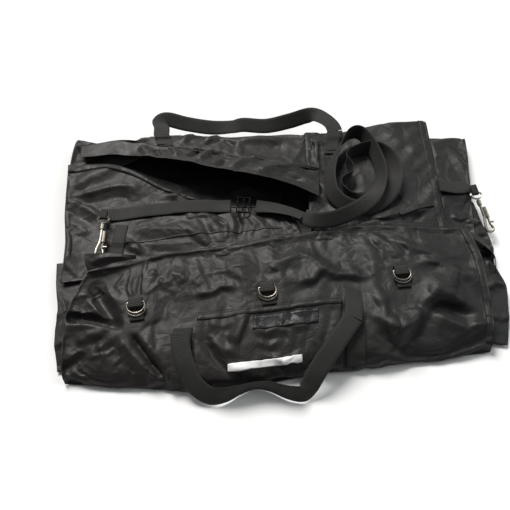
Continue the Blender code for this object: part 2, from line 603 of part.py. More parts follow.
def spring_solid():
    """The bolt's coil spring, at rest between the barrel's end wall and the bolt."""
    turns = 4
    per_turn = 10
    sides = 5
    wire = 0.0004
    radius = BARREL_BORE - wire - 0.0004
    start = BARREL_TOP - 0.0020 - wire - 0.0003
    length = start - (BOLT_NEAR + wire + 0.0003)
    bm = bmesh.new()
    loops = []
    for k in range(turns * per_turn + 1):
        angle = 2 * math.pi * k / per_turn
        out = Vector((math.cos(angle), 0, math.sin(angle)))
        centre = out * radius + Vector((0, start - length * k / (turns * per_turn), 0))
        loops.append([bm.verts.new(centre + out * wire * math.cos(2 * math.pi * s / sides)
                                   + Vector((0, wire * math.sin(2 * math.pi * s / sides), 0)))
                      for s in range(sides)])
    for here, there in zip(loops, loops[1:]):
        for s in range(sides):
            n = (s + 1) % sides
            bm.faces.new((here[s], here[n], there[n], there[s]))
    bm.faces.new(loops[0][::-1])
    bm.faces.new(loops[-1])
    return bm


# ---- the rest of the strap --------------------------------------------------------------------------
def strap_coil():
    """The loose coil of the shoulder strap: a ring of its outer shape."""
    steps = 40
    path = []
    for k in range(steps):
        angle = 2 * math.pi * k / steps
        path.append(laid_out((COIL_CENTRE[0] + COIL_RADII[0] * math.cos(angle),
                              COIL_CENTRE[1] + COIL_RADII[1] * math.sin(angle), COIL_HEIGHT)))
    add_object("strap_coil", ring_solid(path, *COIL_SECTION, 8), BLACK_WEBBING, smooth=True)


def strap_adjuster():
    """Three-bar slider: a rectangular frame with a middle bar, on the strap."""
    half_x, half_y = ADJUSTER_HALF
    bar = ADJUSTER_BAR
    cuts_x = [-half_x, -half_x + bar, -bar / 2, bar / 2, half_x - bar, half_x]
    cuts_y = [-half_y, -half_y + bar, half_y - bar, half_y]
    slots = [(1, 1), (1, 3)]
    bm = bmesh.new()
    corners = [[bm.verts.new((x, y, -ADJUSTER_DEPTH)) for x in cuts_x] for y in cuts_y]
    for j in range(len(cuts_y) - 1):
        for i in range(len(cuts_x) - 1):
            if (j, i) not in slots:
                bm.faces.new((corners[j][i], corners[j][i + 1], corners[j + 1][i + 1], corners[j + 1][i]))
    raised = bmesh.ops.extrude_face_region(bm, geom=bm.faces[:])
    top = [item for item in raised["geom"] if isinstance(item, bmesh.types.BMVert)]
    bmesh.ops.translate(bm, verts=top, vec=(0, 0, 2 * ADJUSTER_DEPTH))
    turn = Matrix.Rotation(math.radians(ADJUSTER_TURN), 4, "Z")
    pivot = add_pivot("strap_adjuster_place", Matrix.Translation(laid_out(ADJUSTER_CENTRE)) @ turn)
    add_object("strap_adjuster", bm, BLACK_METAL, pivot)


# ---- assembly ---------------------------------------------------------------------------------------
def base_panel():
    bm = bmesh.new()
    outline = [laid_out((x, y, 0.0)) for x, y in BASE_OUTLINE]
    low = bm.faces.new([bm.verts.new(p) for p in outline])
    raised = bmesh.ops.extrude_face_region(bm, geom=[low])
    top = [item for item in raised["geom"] if isinstance(item, bmesh.types.BMVert)]
    bmesh.ops.translate(bm, verts=top, vec=(0, 0, BASE_THICK))
    add_object("base_panel", bm, BLACK_CLOTH)


def build_panels():
    panel("near_side_panel", NEAR_NET)
    panel("top_near_panel", MIDDLE_NET)
    panel("far_side_panel", FAR_NET)
    panel("top_far_panel", LID_NET)
    panel("right_end_panel", RIGHT_END_NET)
    panel("mouth_lining", LINING_NET, DARK_LINING)
    panel("left_end_fold", LEFT_FOLD_NET)
    panel("right_end_fold", RIGHT_FOLD_NET)
    panel("left_corner_flap", CORNER_NET)
    base_panel()


def build_pocket():
    sewn_patch("pocket_panel", NEAR_NET, (0.331, 0.686), (0.080, 0.535), (14, 8), LIFT, PLY, BLACK_CLOTH)
    sewn_patch("pocket_hem", NEAR_NET, (0.331, 0.686), (0.516, 0.534), (14, 1), 2 * LIFT, PLY, BLACK_CLOTH)
    sewn_patch("pocket_welt", NEAR_NET, (0.470, 0.630), (0.462, 0.510), (7, 1), 2 * LIFT, PLY, GLOSSY_TRIM)
    sewn_patch("pocket_mark", NEAR_NET, (0.420, 0.610), (0.250, 0.320), (8, 1), 2 * LIFT, INK, WHITE_PRINT)


def line_pivot(name, start, end):
    """An empty at the start of a line, its X along it and its Z as near upright as it goes."""
    along = (end - start).normalized()
    side = Vector((0, 0, 1)).cross(along).normalized()
    up = along.cross(side)
    matrix = Matrix((
        (along.x, side.x, up.x, start.x), (along.y, side.y, up.y, start.y),
        (along.z, side.z, up.z, start.z), (0, 0, 0, 1)))
    pivot = add_pivot(name, matrix)
    bpy.context.view_layer.update()
    return pivot


def handle_pivot(name, route):
    """An empty on the line through the two sewn ends of a handle."""
    return line_pivot(name, laid_out(route[0][:3]), laid_out(route[-1][:3]))


def build_handles():
    for side, span_u in NEAR_LEGS.items():
        sewn_patch(f"near_handle_leg_{side}", NEAR_NET, span_u, (0.10, 0.46), (2, 8), LIFT, WEBBING,
                   BLACK_WEBBING)
    pivot = handle_pivot("near_handle_pivot", NEAR_HANDLE_ROUTE)
    strip("near_handle", NEAR_HANDLE_ROUTE, HANDLE_WIDTH, 40, pivot)
    far_pivot = handle_pivot("far_handle_pivot", FAR_HANDLE_ROUTE)
    strip("far_handle", FAR_HANDLE_ROUTE, HANDLE_WIDTH, 44, far_pivot)
    sewn_patch("far_handle_leg_left", FAR_NET, FAR_LEGS["left"], (0.03, 0.42), (2, 4), LIFT, WEBBING,
               BLACK_WEBBING)
    sewn_patch("far_handle_leg_right", LID_NET, FAR_LEGS["right"], (0.52, 0.70), (2, 4), LIFT, WEBBING,
               BLACK_WEBBING)


def build_lip():
    """The raised far lip of the mouth, on a pivot along its root."""
    pivot = line_pivot("mouth_lip_pivot", laid_out(LIP_NET[1][0]), laid_out(LIP_NET[1][-1]))
    panel("mouth_lip", LIP_NET, parent=pivot)
    sewn_patch("mouth_lip_hem", LIP_NET, (0.0, 1.0), (0.02, 0.17), (12, 1), LIFT, PLY, BLACK_CLOTH, pivot)


def build_strap():
    strip("strap_left_run", LEFT_RUN_ROUTE, STRAP_WIDTH, 14)
    strip("strap_middle_run", MIDDLE_RUN_ROUTE, STRAP_WIDTH, 8)
    strip("strap_right_run", RIGHT_RUN_ROUTE, STRAP_WIDTH, 10)
    strap_coil()
    strap_adjuster()
    strip("left_strap_end", LEFT_END_ROUTE, 0.030, 5)
    strip("right_end_loop", RIGHT_END_ROUTE, 0.022, 8)


def build_hems():
    sewn_patch("mouth_near_hem", MIDDLE_NET, (0.0, 1.0), (0.955, 0.995), (16, 1), LIFT, PLY, BLACK_CLOTH)
    sewn_patch("lid_seam_binding", LID_NET, (0.955, 0.990), (0.10, 0.92), (1, 16), LIFT, PLY, BLACK_CLOTH)
    sewn_patch("near_end_binding", NEAR_NET, (0.984, 0.997), (0.22, 0.96), (1, 12), LIFT, PLY, BLACK_CLOTH)


def build():
    clear_scene()
    build_panels()
    build_pocket()
    build_handles()
    build_lip()
    build_hems()
    for side, (u, v) in RING_PLACES.items():
        build_ring_tab(side, u, v)
    build_strap()
    build_hook("left", LEFT_HOOK)
    build_hook("right", RIGHT_HOOK)


build()
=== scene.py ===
import math

import bmesh
import bpy
import numpy as np
from mathutils import Matrix, Vector


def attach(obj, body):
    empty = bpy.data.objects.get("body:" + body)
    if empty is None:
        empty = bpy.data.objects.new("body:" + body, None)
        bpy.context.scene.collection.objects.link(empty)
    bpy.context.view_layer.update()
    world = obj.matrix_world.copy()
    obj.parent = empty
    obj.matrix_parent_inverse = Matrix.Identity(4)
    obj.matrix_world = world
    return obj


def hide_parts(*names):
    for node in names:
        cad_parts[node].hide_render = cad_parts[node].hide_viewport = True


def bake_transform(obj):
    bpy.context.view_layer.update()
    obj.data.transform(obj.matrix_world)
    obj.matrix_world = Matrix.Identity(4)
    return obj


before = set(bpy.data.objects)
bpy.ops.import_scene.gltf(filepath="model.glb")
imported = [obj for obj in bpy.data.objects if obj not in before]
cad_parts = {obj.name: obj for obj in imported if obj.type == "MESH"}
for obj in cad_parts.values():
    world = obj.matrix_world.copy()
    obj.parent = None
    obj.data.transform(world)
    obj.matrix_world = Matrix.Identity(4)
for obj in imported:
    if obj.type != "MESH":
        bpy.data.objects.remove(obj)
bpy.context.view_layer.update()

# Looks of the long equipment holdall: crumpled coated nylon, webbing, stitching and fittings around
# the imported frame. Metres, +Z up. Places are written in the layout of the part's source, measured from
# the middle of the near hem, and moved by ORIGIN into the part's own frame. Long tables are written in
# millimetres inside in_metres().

# ---- layout, repeated from the part's source --------------------------------------------------------
ORIGIN = np.array((0.0497, 0.3196, 0.0))
WEBBING = 0.0018
HANDLE_WIDTH = 0.040
STRAP_WIDTH = 0.038


def in_metres(table):
    """A table written in millimetres, in metres. A route's fourth number is a lean in degrees, and stays."""
    if isinstance(table, (int, float)):
        return table / 1000
    if isinstance(table, tuple) and isinstance(table[0], (int, float)):
        return (*(size / 1000 for size in table[:3]), *table[3:])
    return type(table)(in_metres(entry) for entry in table)


NEAR_NET = in_metres([
    [(-388, -35, 2.8), (-260, -43, 2.8), (-124, -46, 2.8), (20, -32, 2.8), (160, -9, 2.8), (330, 14, 2.8),
     (494, 36, 2.8)],
    [(-391, -22, 26), (-261, -30, 28), (-125, -33, 28), (20, -19, 28), (160, 4, 28), (330, 27, 28),
     (497, 50, 26)],
    [(-396, 30, 40), (-262, 21, 44), (-127, 18, 44), (21, 32, 44), (162, 50, 45), (332, 72, 45),
     (503, 100, 40)],
    [(-398, 100, 48), (-253, 118, 56), (-116, 136, 58), (24, 155, 58), (168, 176, 58), (323, 199, 58),
     (508, 222, 50)],
    [(-384, 158, 52), (-254, 176, 62), (-140, 198, 63), (4, 219, 63), (152, 246, 63), (302, 267, 63),
     (500, 278, 56)],
    [(-368, 208, 52), (-256, 235, 55), (-166, 262, 55), (-21, 284, 55), (130, 316, 56), (279, 334, 56),
     (488, 328, 52)],
])
MIDDLE_NET = in_metres([
    [(-428, 190, 34), (-300, 205, 38), (-170, 235, 40), (-30, 255, 40), (118, 285, 42)],
    [(-436, 290, 38), (-310, 300, 44), (-180, 318, 46), (-40, 330, 47), (102, 340, 48)],
    [(-452, 385, 40), (-320, 392, 46), (-190, 382, 47), (-50, 368, 46), (83, 372, 46)],
    [(-468, 532, 46), (-335, 526, 46), (-200, 449, 43), (-70, 404, 41), (66, 402, 43)],
])
FAR_NET = in_metres([
    [(-466, 545, 50), (-345, 596, 63), (-225, 572, 66), (-115, 549, 68), (0, 526, 70), (100, 506, 70)],
    [(-466, 590, 42), (-345, 606, 56), (-230, 600, 63), (-115, 585, 65), (0, 580, 65), (110, 570, 60)],
    [(-464, 634, 32), (-348, 614, 40), (-240, 636, 48), (-115, 626, 50), (0, 632, 48), (120, 636, 48)],
    [(-460, 644, 10), (-348, 626, 12), (-240, 650, 12), (-115, 644, 12), (0, 650, 12), (122, 654, 12)],
])
LIP_NET = in_metres([
    [(-335, 552, 64), (-232, 516, 84), (-131, 483, 98), (-12, 455, 98), (88, 436, 80)],
    [(-334, 588, 64), (-227, 566, 66), (-117, 543, 68), (-2, 520, 70), (92, 501, 72)],
])
LID_NET = in_metres([
    [(132, 285, 40), (225, 300, 41), (325, 305, 41), (436, 298, 38)],
    [(128, 400, 48), (222, 410, 52), (322, 415, 52), (438, 410, 44)],
    [(126, 520, 56), (222, 525, 60), (325, 530, 58), (440, 530, 48)],
    [(128, 635, 50), (222, 640, 52), (325, 664, 52), (444, 685, 42)],
    [(130, 652, 12), (222, 660, 12), (327, 684, 12), (446, 700, 12)],
])
RIGHT_END_NET = in_metres([
    [(451, 290, 30), (482, 292, 30), (512, 300, 26)],
    [(451, 400, 38), (490, 400, 38), (522, 400, 30)],
    [(452, 520, 40), (500, 520, 40), (538, 520, 34)],
    [(454, 632, 34), (505, 634, 34), (551, 636, 30)],
    [(455, 650, 10), (506, 651, 10), (552, 650, 10)],
])

# Routes of the webbing: x, y and z in millimetres, and the strip's lean in degrees.
NEAR_HANDLE_ROUTE = in_metres([
    (203, 84, 68, 2), (178, 50, 63, 4), (149, 10, 53, 8), (124, -24, 39, 12), (108, -48, 24, 26),
    (94, -62, 20, 56), (66, -60, 21.5, 70), (30, -48, 21.5, 84), (0, -46, 21.5, 92), (-30, -55, 21.5, 84),
    (-62, -66, 21, 64), (-92, -66, 21.5, 48), (-121, -46, 31, 30), (-140, -12, 47, 12), (-150, 22, 57, 4),
    (-153, 52, 62, 0)])
LEFT_RUN_ROUTE = in_metres([
    (-346, 376, 51, 0), (-300, 384, 52, 0), (-235, 393, 52.5, 0), (-160, 398, 51.5, 0), (-58, 399, 50, 0)])
MIDDLE_RUN_ROUTE = in_metres([
    (2, 392, 54, 0), (40, 386, 56, 10), (80, 372, 60, 20), (112, 356, 62, 24)])
RIGHT_RUN_ROUTE = in_metres([
    (448, 461, 51, 0), (466, 460, 48, 0), (484, 458, 45.5, 0), (502, 460, 43, 0), (513, 464, 41.4, 0),
    (527, 471, 38, 0)])

NEAR_RINGS = {"left": (0.170, 0.600), "middle": (0.502, 0.600), "right": (0.828, 0.600)}


# ---- camera, light and floor ------------------------------------------------------------------------
LOOK_DOWN = 55.0


def build_camera():
    """The view: from the near side, looking down at LOOK_DOWN degrees."""
    data = bpy.data.cameras.new("view")
    data.sensor_width = 36.0
    data.lens = 43.8
    camera = bpy.data.objects.new("view", data)
    camera.location = (-ORIGIN[0], -0.8640, 1.190)
    camera.rotation_euler = (math.radians(90.0 - LOOK_DOWN), 0.0, 0.0)
    bpy.context.scene.collection.objects.link(camera)
    bpy.context.scene.camera = camera


def add_sun(name, towards, strength, spread, colour):
    """A soft distant light that shines from the direction `towards`."""
    data = bpy.data.lights.new(name, "SUN")
    data.energy = strength
    data.angle = math.radians(spread)
    data.color = colour
    lamp = bpy.data.objects.new(name, data)
    lamp.rotation_euler = Vector(towards).to_track_quat("Z", "Y").to_euler()
    bpy.context.scene.collection.objects.link(lamp)


def build_light():
    add_sun("key", (-0.40, 0.95, 1.05), 3.65, 26.0, (1.0, 0.975, 0.95))
    add_sun("side", (0.9, 0.45, 1.0), 0.6, 40.0, (0.92, 1.0, 0.97))
    add_sun("front", (0.1, -0.5, 1.0), 0.16, 60.0, (1.0, 1.0, 1.0))
    world = bpy.data.worlds.new("studio")
    world.use_nodes = True
    world.node_tree.nodes["Background"].inputs["Color"].default_value = (0.95, 0.97, 1.0, 1.0)
    world.node_tree.nodes["Background"].inputs["Strength"].default_value = 0.11
    bpy.context.scene.world = world
    bpy.context.scene.view_settings.view_transform = "Standard"


def build_floor():
    bpy.ops.mesh.primitive_plane_add(size=14.0, location=(0.0, 0.0, -0.0005))
    floor = bpy.context.object
    floor.name = "floor"
    paper = Nodes("floor_paper")
    paper.finish({"Base Color": (0.96, 0.96, 0.96, 1.0), "Roughness": 0.9, "Specular IOR Level": 0.1})
    floor.data.materials.append(paper.material)


# ---- materials --------------------------------------------------------------------------------------
class Nodes:
    """A material and short ways to add nodes to it."""

    def __init__(self, name):
        self.material = bpy.data.materials.new(name)
        self.material.use_nodes = True
        self.tree = self.material.node_tree
        self.shader = self.tree.nodes["Principled BSDF"]

    def fill(self, node, inputs):
        """Links each input to the socket given for it, or sets it to the value."""
        for key, value in inputs.items():
            if isinstance(value, bpy.types.NodeSocket):
                self.tree.links.new(value, node.inputs[key])
            else:
                node.inputs[key].default_value = value

    def add(self, kind, inputs=None, **settings):
        node = self.tree.nodes.new(kind)
        for key, value in settings.items():
            setattr(node, key, value)
        self.fill(node, inputs or {})
        return node

    def finish(self, inputs):
        self.fill(self.shader, inputs)

    def colour(self, factor, first, second):
        """Makes the base colour a mix of two, by a factor from 0 to 1."""
        made = self.add("ShaderNodeMix", {"Factor": factor}, data_type="RGBA")
        made.inputs[6].default_value = (*first, 1.0)
        made.inputs[7].default_value = (*second, 1.0)
        self.finish({"Base Color": made.outputs[2]})

    def noise(self, vector, scale, detail=4.0, roughness=0.55):
        made = self.add("ShaderNodeTexNoise", {"Vector": vector, "Scale": scale, "Detail": detail,
                                               "Roughness": roughness})
        return made.outputs["Fac"]

    def ramp(self, value, low, high, start, end):
        made = self.add("ShaderNodeMapRange", {"Value": value, "From Min": low, "From Max": high,
                                               "To Min": start, "To Max": end})
        return made.outputs["Result"]

    def bump(self, height, distance, strength=1.0, below=None):
        inputs = {"Height": height, "Distance": distance, "Strength": strength}
        if below is not None:
            inputs["Normal"] = below
        return self.add("ShaderNodeBump", inputs).outputs["Normal"]


def nylon_material(name, painted_warm_left, painted_cool_right, roughness, crumple=1.0):
    """Coated woven nylon: fine weave, small creases, slight sheen, random colour drift, and painted light:
    lighter and warmer towards -X, cooler towards +X.
    """
    n = Nodes(name)
    place = n.add("ShaderNodeTexCoord").outputs["Object"]
    drift = n.noise(place, 7.0, 3.0)
    # Painted light: the base colour runs from the lighter warm tint at -X to the cool tint at +X, as the light
    # falls; the noise on top is random tone drift.
    along = n.add("ShaderNodeSeparateXYZ", {"Vector": place}).outputs["X"]
    side = n.add("ShaderNodeMath", {0: n.ramp(along, -0.35, 0.35, -0.3, 0.3), 1: drift}, operation="ADD")
    n.colour(n.ramp(side.outputs["Value"], 0.25, 0.75, 0.0, 1.0), painted_warm_left, painted_cool_right)
    polish = n.noise(place, 30.0, 5.0)
    n.finish({"Roughness": n.ramp(polish, 0.3, 0.7, roughness - 0.07, roughness + 0.09)})
    soft = n.noise(place, 42.0, 5.0, 0.6)
    crease = n.add("ShaderNodeTexVoronoi", {"Vector": place, "Scale": 58.0}, feature="DISTANCE_TO_EDGE")
    edge = n.ramp(crease.outputs["Distance"], 0.0, 0.12, 0.0, 1.0)
    bumps = n.bump(soft, 0.0008 * crumple, 0.5)
    bumps = n.bump(edge, 0.00035 * crumple, 0.4, bumps)
    warp = n.add("ShaderNodeTexNoise", {"Vector": place, "Scale": 9.0, "Detail": 2.0}).outputs["Color"]
    bent = n.add("ShaderNodeVectorMath", {0: warp, "Scale": 0.10}, operation="SCALE").outputs["Vector"]
    shifted = n.add("ShaderNodeVectorMath", {0: place, 1: bent}, operation="ADD").outputs["Vector"]
    plates = n.add("ShaderNodeTexVoronoi", {"Vector": shifted, "Scale": 21.0}, feature="DISTANCE_TO_EDGE")
    bumps = n.bump(n.ramp(plates.outputs["Distance"], 0.0, 0.30, 0.0, 1.0), 0.0020 * crumple, 0.50, bumps)
    turned = n.add("ShaderNodeMapping", {"Vector": place, "Rotation": (0.0, 0.0, 0.12)})
    warp_threads, weft_threads = (
        n.add("ShaderNodeTexWave", {"Vector": turned.outputs["Vector"], "Scale": 320.0}, bands_direction=way)
        for way in ("X", "Y"))
    weave = n.add("ShaderNodeMath", {0: warp_threads.outputs["Fac"], 1: weft_threads.outputs["Fac"]},
                  operation="MAXIMUM")
    bumps = n.bump(weave.outputs["Value"], 0.00008, 0.5, bumps)
    n.finish({"Normal": bumps, "Sheen Weight": 0.05, "Sheen Roughness": 0.4, "Specular IOR Level": 0.30})
    return n.material


def webbing_material(name, dark, light):
    """Woven webbing: ribs across the strap and a fine twill along it, read from the strap's own UV metres."""
    n = Nodes(name)
    place = n.add("ShaderNodeTexCoord")
    drift = n.noise(place.outputs["Object"], 18.0, 4.0)
    n.colour(n.ramp(drift, 0.35, 0.65, 0.0, 1.0), dark, light)
    ribs = n.add("ShaderNodeTexWave", {"Vector": place.outputs["UV"], "Scale": 95.0}, bands_direction="Y")
    twill = n.add("ShaderNodeTexWave", {"Vector": place.outputs["UV"], "Scale": 260.0, "Distortion": 0.6},
                  bands_direction="X")
    bumps = n.bump(ribs.outputs["Fac"], 0.0005, 0.8)
    bumps = n.bump(twill.outputs["Fac"], 0.0002, 0.5, bumps)
    n.finish({"Normal": bumps, "Roughness": n.ramp(drift, 0.3, 0.7, 0.68, 0.82), "Sheen Weight": 0.06})
    return n.material


def metal_material(name, colour, roughness):
    """Plated metal with fine scratches and dull patches."""
    n = Nodes(name)
    place = n.add("ShaderNodeTexCoord").outputs["Object"]
    patches = n.noise(place, 160.0, 4.0)
    n.finish({"Roughness": n.ramp(patches, 0.3, 0.7, roughness * 0.7, roughness * 1.6),
              "Normal": n.bump(n.noise(place, 900.0, 2.0), 0.00006, 0.4), "Metallic": 1.0})
    dull = (colour[0] * 0.82, colour[1] * 0.80, colour[2] * 0.76)
    n.colour(n.ramp(patches, 0.4, 0.7, 0.0, 1.0), colour, dull)
    return n.material


def print_material(name):
    """White rubbery print, slightly worn."""
    n = Nodes(name)
    place = n.add("ShaderNodeTexCoord").outputs["Object"]
    wear = n.noise(place, 260.0, 4.0)
    n.colour(n.ramp(wear, 0.62, 0.72, 0.0, 0.5), (0.86, 0.86, 0.86), (0.45, 0.45, 0.45))
    n.finish({"Normal": n.bump(wear, 0.0002, 0.4), "Roughness": 0.55})
    return n.material


MATERIALS = {
    # Nylon: the first colour, lighter and warmer, is painted light on the left end; the second is the right
    # end's cooler tone.
    "nylon": nylon_material("nylon", (0.0182, 0.0152, 0.0146), (0.0136, 0.0145, 0.0134), 0.51),
    # Painted shade: the lining is made near black so that the inside of the mouth reads dark.
    "lining": nylon_material("lining", (0.0030, 0.0030, 0.0032), (0.0055, 0.0052, 0.0052), 0.62),
    "glossy": nylon_material("glossy", (0.0048, 0.0048, 0.0052), (0.0080, 0.0080, 0.0085), 0.42, 1.2),
    "webbing": webbing_material("webbing", (0.0056, 0.0053, 0.0044), (0.0096, 0.0091, 0.0076)),
    "thread": webbing_material("thread", (0.0100, 0.0100, 0.0100), (0.0200, 0.0200, 0.0200)),
    "nickel": metal_material("nickel", (0.34, 0.32, 0.275), 0.30),
    "black_metal": metal_material("black_metal", (0.006, 0.006, 0.006), 0.55),
    "print": print_material("print"),
}


# ---- sheets -----------------------------------------------------------------------------------------
def spline_through(points, t):
    """Catmull-Rom through an array of points along its first axis, at the parameters t from 0 to 1."""
    points = np.asarray(points, float)
    spans = len(points) - 1
    place = np.clip(np.asarray(t, float), 0.0, 1.0) * spans
    i = np.minimum(place.astype(int), spans - 1)
    f = (place - i).reshape((-1,) + (1,) * (points.ndim - 1))
    padded = np.concatenate([[2 * points[0] - points[1]], points, [2 * points[-1] - points[-2]]])
    a, b, c, d = padded[i], padded[i + 1], padded[i + 2], padded[i + 3]
    square = 2 * a - 5 * b + 4 * c - d
    cube = 3 * b - a - 3 * c + d
    return 0.5 * (2 * b + (c - a) * f + square * f ** 2 + cube * f ** 3)


def spline_grid(points, columns, rows):
    """A grid of points resampled along smooth curves, both ways."""
    across = spline_through(np.swapaxes(points, 0, 1), np.linspace(0, 1, columns + 1))
    return spline_through(np.swapaxes(across, 0, 1), np.linspace(0, 1, rows + 1))


def sheet_points(net, columns, rows):
    """The smooth sheet through a net, as rows by columns of points in the part's frame."""
    return spline_grid(np.array(net), columns, rows) - ORIGIN


def unit(vectors):
    """Rows of vectors, each made 1 long."""
    return vectors / np.linalg.norm(vectors, axis=1, keepdims=True)


def direction(vector):
    """One vector, made 1 long."""
    return vector / np.linalg.norm(vector)


def run_of(points):
    """The length along a line of points, at each of them."""
    return np.concatenate([[0.0], np.cumsum(np.linalg.norm(np.diff(points, axis=0), axis=1))])


def normals_of(points):
    normal = np.cross(np.gradient(points, axis=1), np.gradient(points, axis=0))
    return normal / np.maximum(np.linalg.norm(normal, axis=2, keepdims=True), 1e-12)


END_SPAN = 0.2            # the share of a fold's path over which it runs out
END_SHARE = 0.2           # of its height, left at the ends of its path
FLANK_POWER = 1.1         # how hollow a fold's flanks are


def fold_heights(points, folds):
    """Height of folds, each a path, a height, and a width on its near and its far side."""
    xy = points[..., :2] + ORIGIN[:2]
    total = np.zeros(points.shape[:2])
    for path, height, near_width, far_width in folds:
        best = np.full(total.shape, 1e9)
        side = np.zeros(total.shape)
        along = np.zeros(total.shape)
        spans = len(path) - 1
        for k in range(spans):
            start = np.array(path[k])
            step = np.array(path[k + 1]) - start
            t = np.clip(((xy - start) @ step) / (step @ step), 0, 1)
            off = xy - (start + t[..., None] * step)
            distance = np.linalg.norm(off, axis=2)
            closer = distance < best
            best = np.where(closer, distance, best)
            side = np.where(closer, step[0] * off[..., 1] - step[1] * off[..., 0], side)
            along = np.where(closer, (k + t) / spans, along)
        width = np.where(side > 0, far_width, near_width)
        taper = np.clip(np.minimum(along, 1 - along) / END_SPAN, 0.0, 1.0)
        total += height * np.clip(1 - best / width, 0, 1) ** FLANK_POWER * (END_SHARE + (1 - END_SHARE) * taper)
    return total


FACET_TABLE = (97, 89)    # the random heights at the facets' corners, which repeat beyond this


def facet_heights(points, size, seed, stretch=1.0):
    """Random flat facets about `size` across, with creases between them, from -1 to 1."""
    rng = np.random.default_rng(seed)
    xy = points[..., :2]
    turn = rng.uniform(0, math.pi)
    x = (xy[..., 0] * math.cos(turn) + xy[..., 1] * math.sin(turn)) / size
    y = (-xy[..., 0] * math.sin(turn) + xy[..., 1] * math.cos(turn)) / (size * stretch)
    waves = rng.uniform(0, 2 * math.pi, 4)
    warped_x = x + 0.40 * np.sin(1.7 * y + waves[0]) + 0.25 * np.sin(3.1 * y + 1.3 * x + waves[1])
    warped_y = y + 0.40 * np.sin(1.9 * x + waves[2]) + 0.25 * np.sin(2.7 * x - 1.1 * y + waves[3])
    i = np.floor(warped_x).astype(int)
    j = np.floor(warped_y).astype(int)
    fx = warped_x - i
    fy = warped_y - j
    table = rng.uniform(-1, 1, FACET_TABLE)
    corner = [[table[(i + a) % FACET_TABLE[0], (j + b) % FACET_TABLE[1]] for b in (0, 1)] for a in (0, 1)]
    lower = corner[0][0] + fx * (corner[1][0] - corner[0][0]) + fy * (corner[1][1] - corner[1][0])
    upper = corner[0][0] + fy * (corner[0][1] - corner[0][0]) + fx * (corner[1][1] - corner[0][1])
    return np.where(fx > fy, lower, upper)


def grid_mesh(name, points):
    """An open quad mesh on a grid of points."""
    rows, columns = points.shape[:2]
    index = np.arange(rows * columns).reshape(rows, columns)
    return quad_mesh(name, points, (index[:-1, :-1], index[:-1, 1:], index[1:, 1:], index[1:, :-1]))


def quad_mesh(name, points, corners):
    """A smooth mesh of quads, from a grid of points and the four grids of their corners' numbers."""
    mesh = bpy.data.meshes.new(name)
    mesh.from_pydata(points.reshape(-1, 3).tolist(), [], np.stack(corners, axis=-1).reshape(-1, 4).tolist())
    mesh.shade_smooth()
    return mesh


def thicken(made, thickness):
    """Gives an open sheet its thickness, below the face that shows."""
    solid = made.modifiers.new("thickness", "SOLIDIFY")
    solid.thickness = thickness
    solid.offset = -1.0


def add_piece(name, mesh, material, body="bag", replaces=()):
    """Links a finished mesh as a piece that rides on a body and takes its material from MATERIALS by key."""
    made = bpy.data.objects.new(name, mesh)
    bpy.context.scene.collection.objects.link(made)
    mesh.materials.clear()
    mesh.materials.append(MATERIALS[material])
    if body is not None:
        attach(made, body)
    if replaces:
        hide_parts(*replaces)
    return made


SOFT_SHARE = 0.40         # of a fold's height, in the cloth before it settles
CRISP_SHARE = 0.85        # of a fold's height, pressed in after it has settled
EDGE_WANDER = 0.0022      # how far a loose edge strays from its smooth line
CLOTH_THICKNESS = 0.0009
SETTLE_FRAMES = 24
CLOTH_GROWTH = 0.008      # how much too large the cloth is while it settles
REFINE = 3                # how many times finer the finished grid is than the settled one


class Surface:
    """A grid of points that other pieces can be sewn on."""

    def __init__(self, points):
        self.points = points

    def sampled(self, u, v, lift=0.0):
        """Points off the face at the places u, v, and the normals there."""
        rows, columns = self.points.shape[:2]
        x = np.clip(np.asarray(u, float), 0, 1) * (columns - 1)
        y = np.clip(np.asarray(v, float), 0, 1) * (rows - 1)
        i = np.minimum(x.astype(int), columns - 2)
        j = np.minimum(y.astype(int), rows - 2)
        fx = (x - i)[..., None]
        fy = (y - j)[..., None]
        found = []
        for grid in (self.points, normals_of(self.points)):
            near_row = grid[j, i] * (1 - fx) + grid[j, i + 1] * fx
            far_row = grid[j + 1, i] * (1 - fx) + grid[j + 1, i + 1] * fx
            found.append(near_row * (1 - fy) + far_row * fy)
        return found[0] + found[1] * lift, found[1]


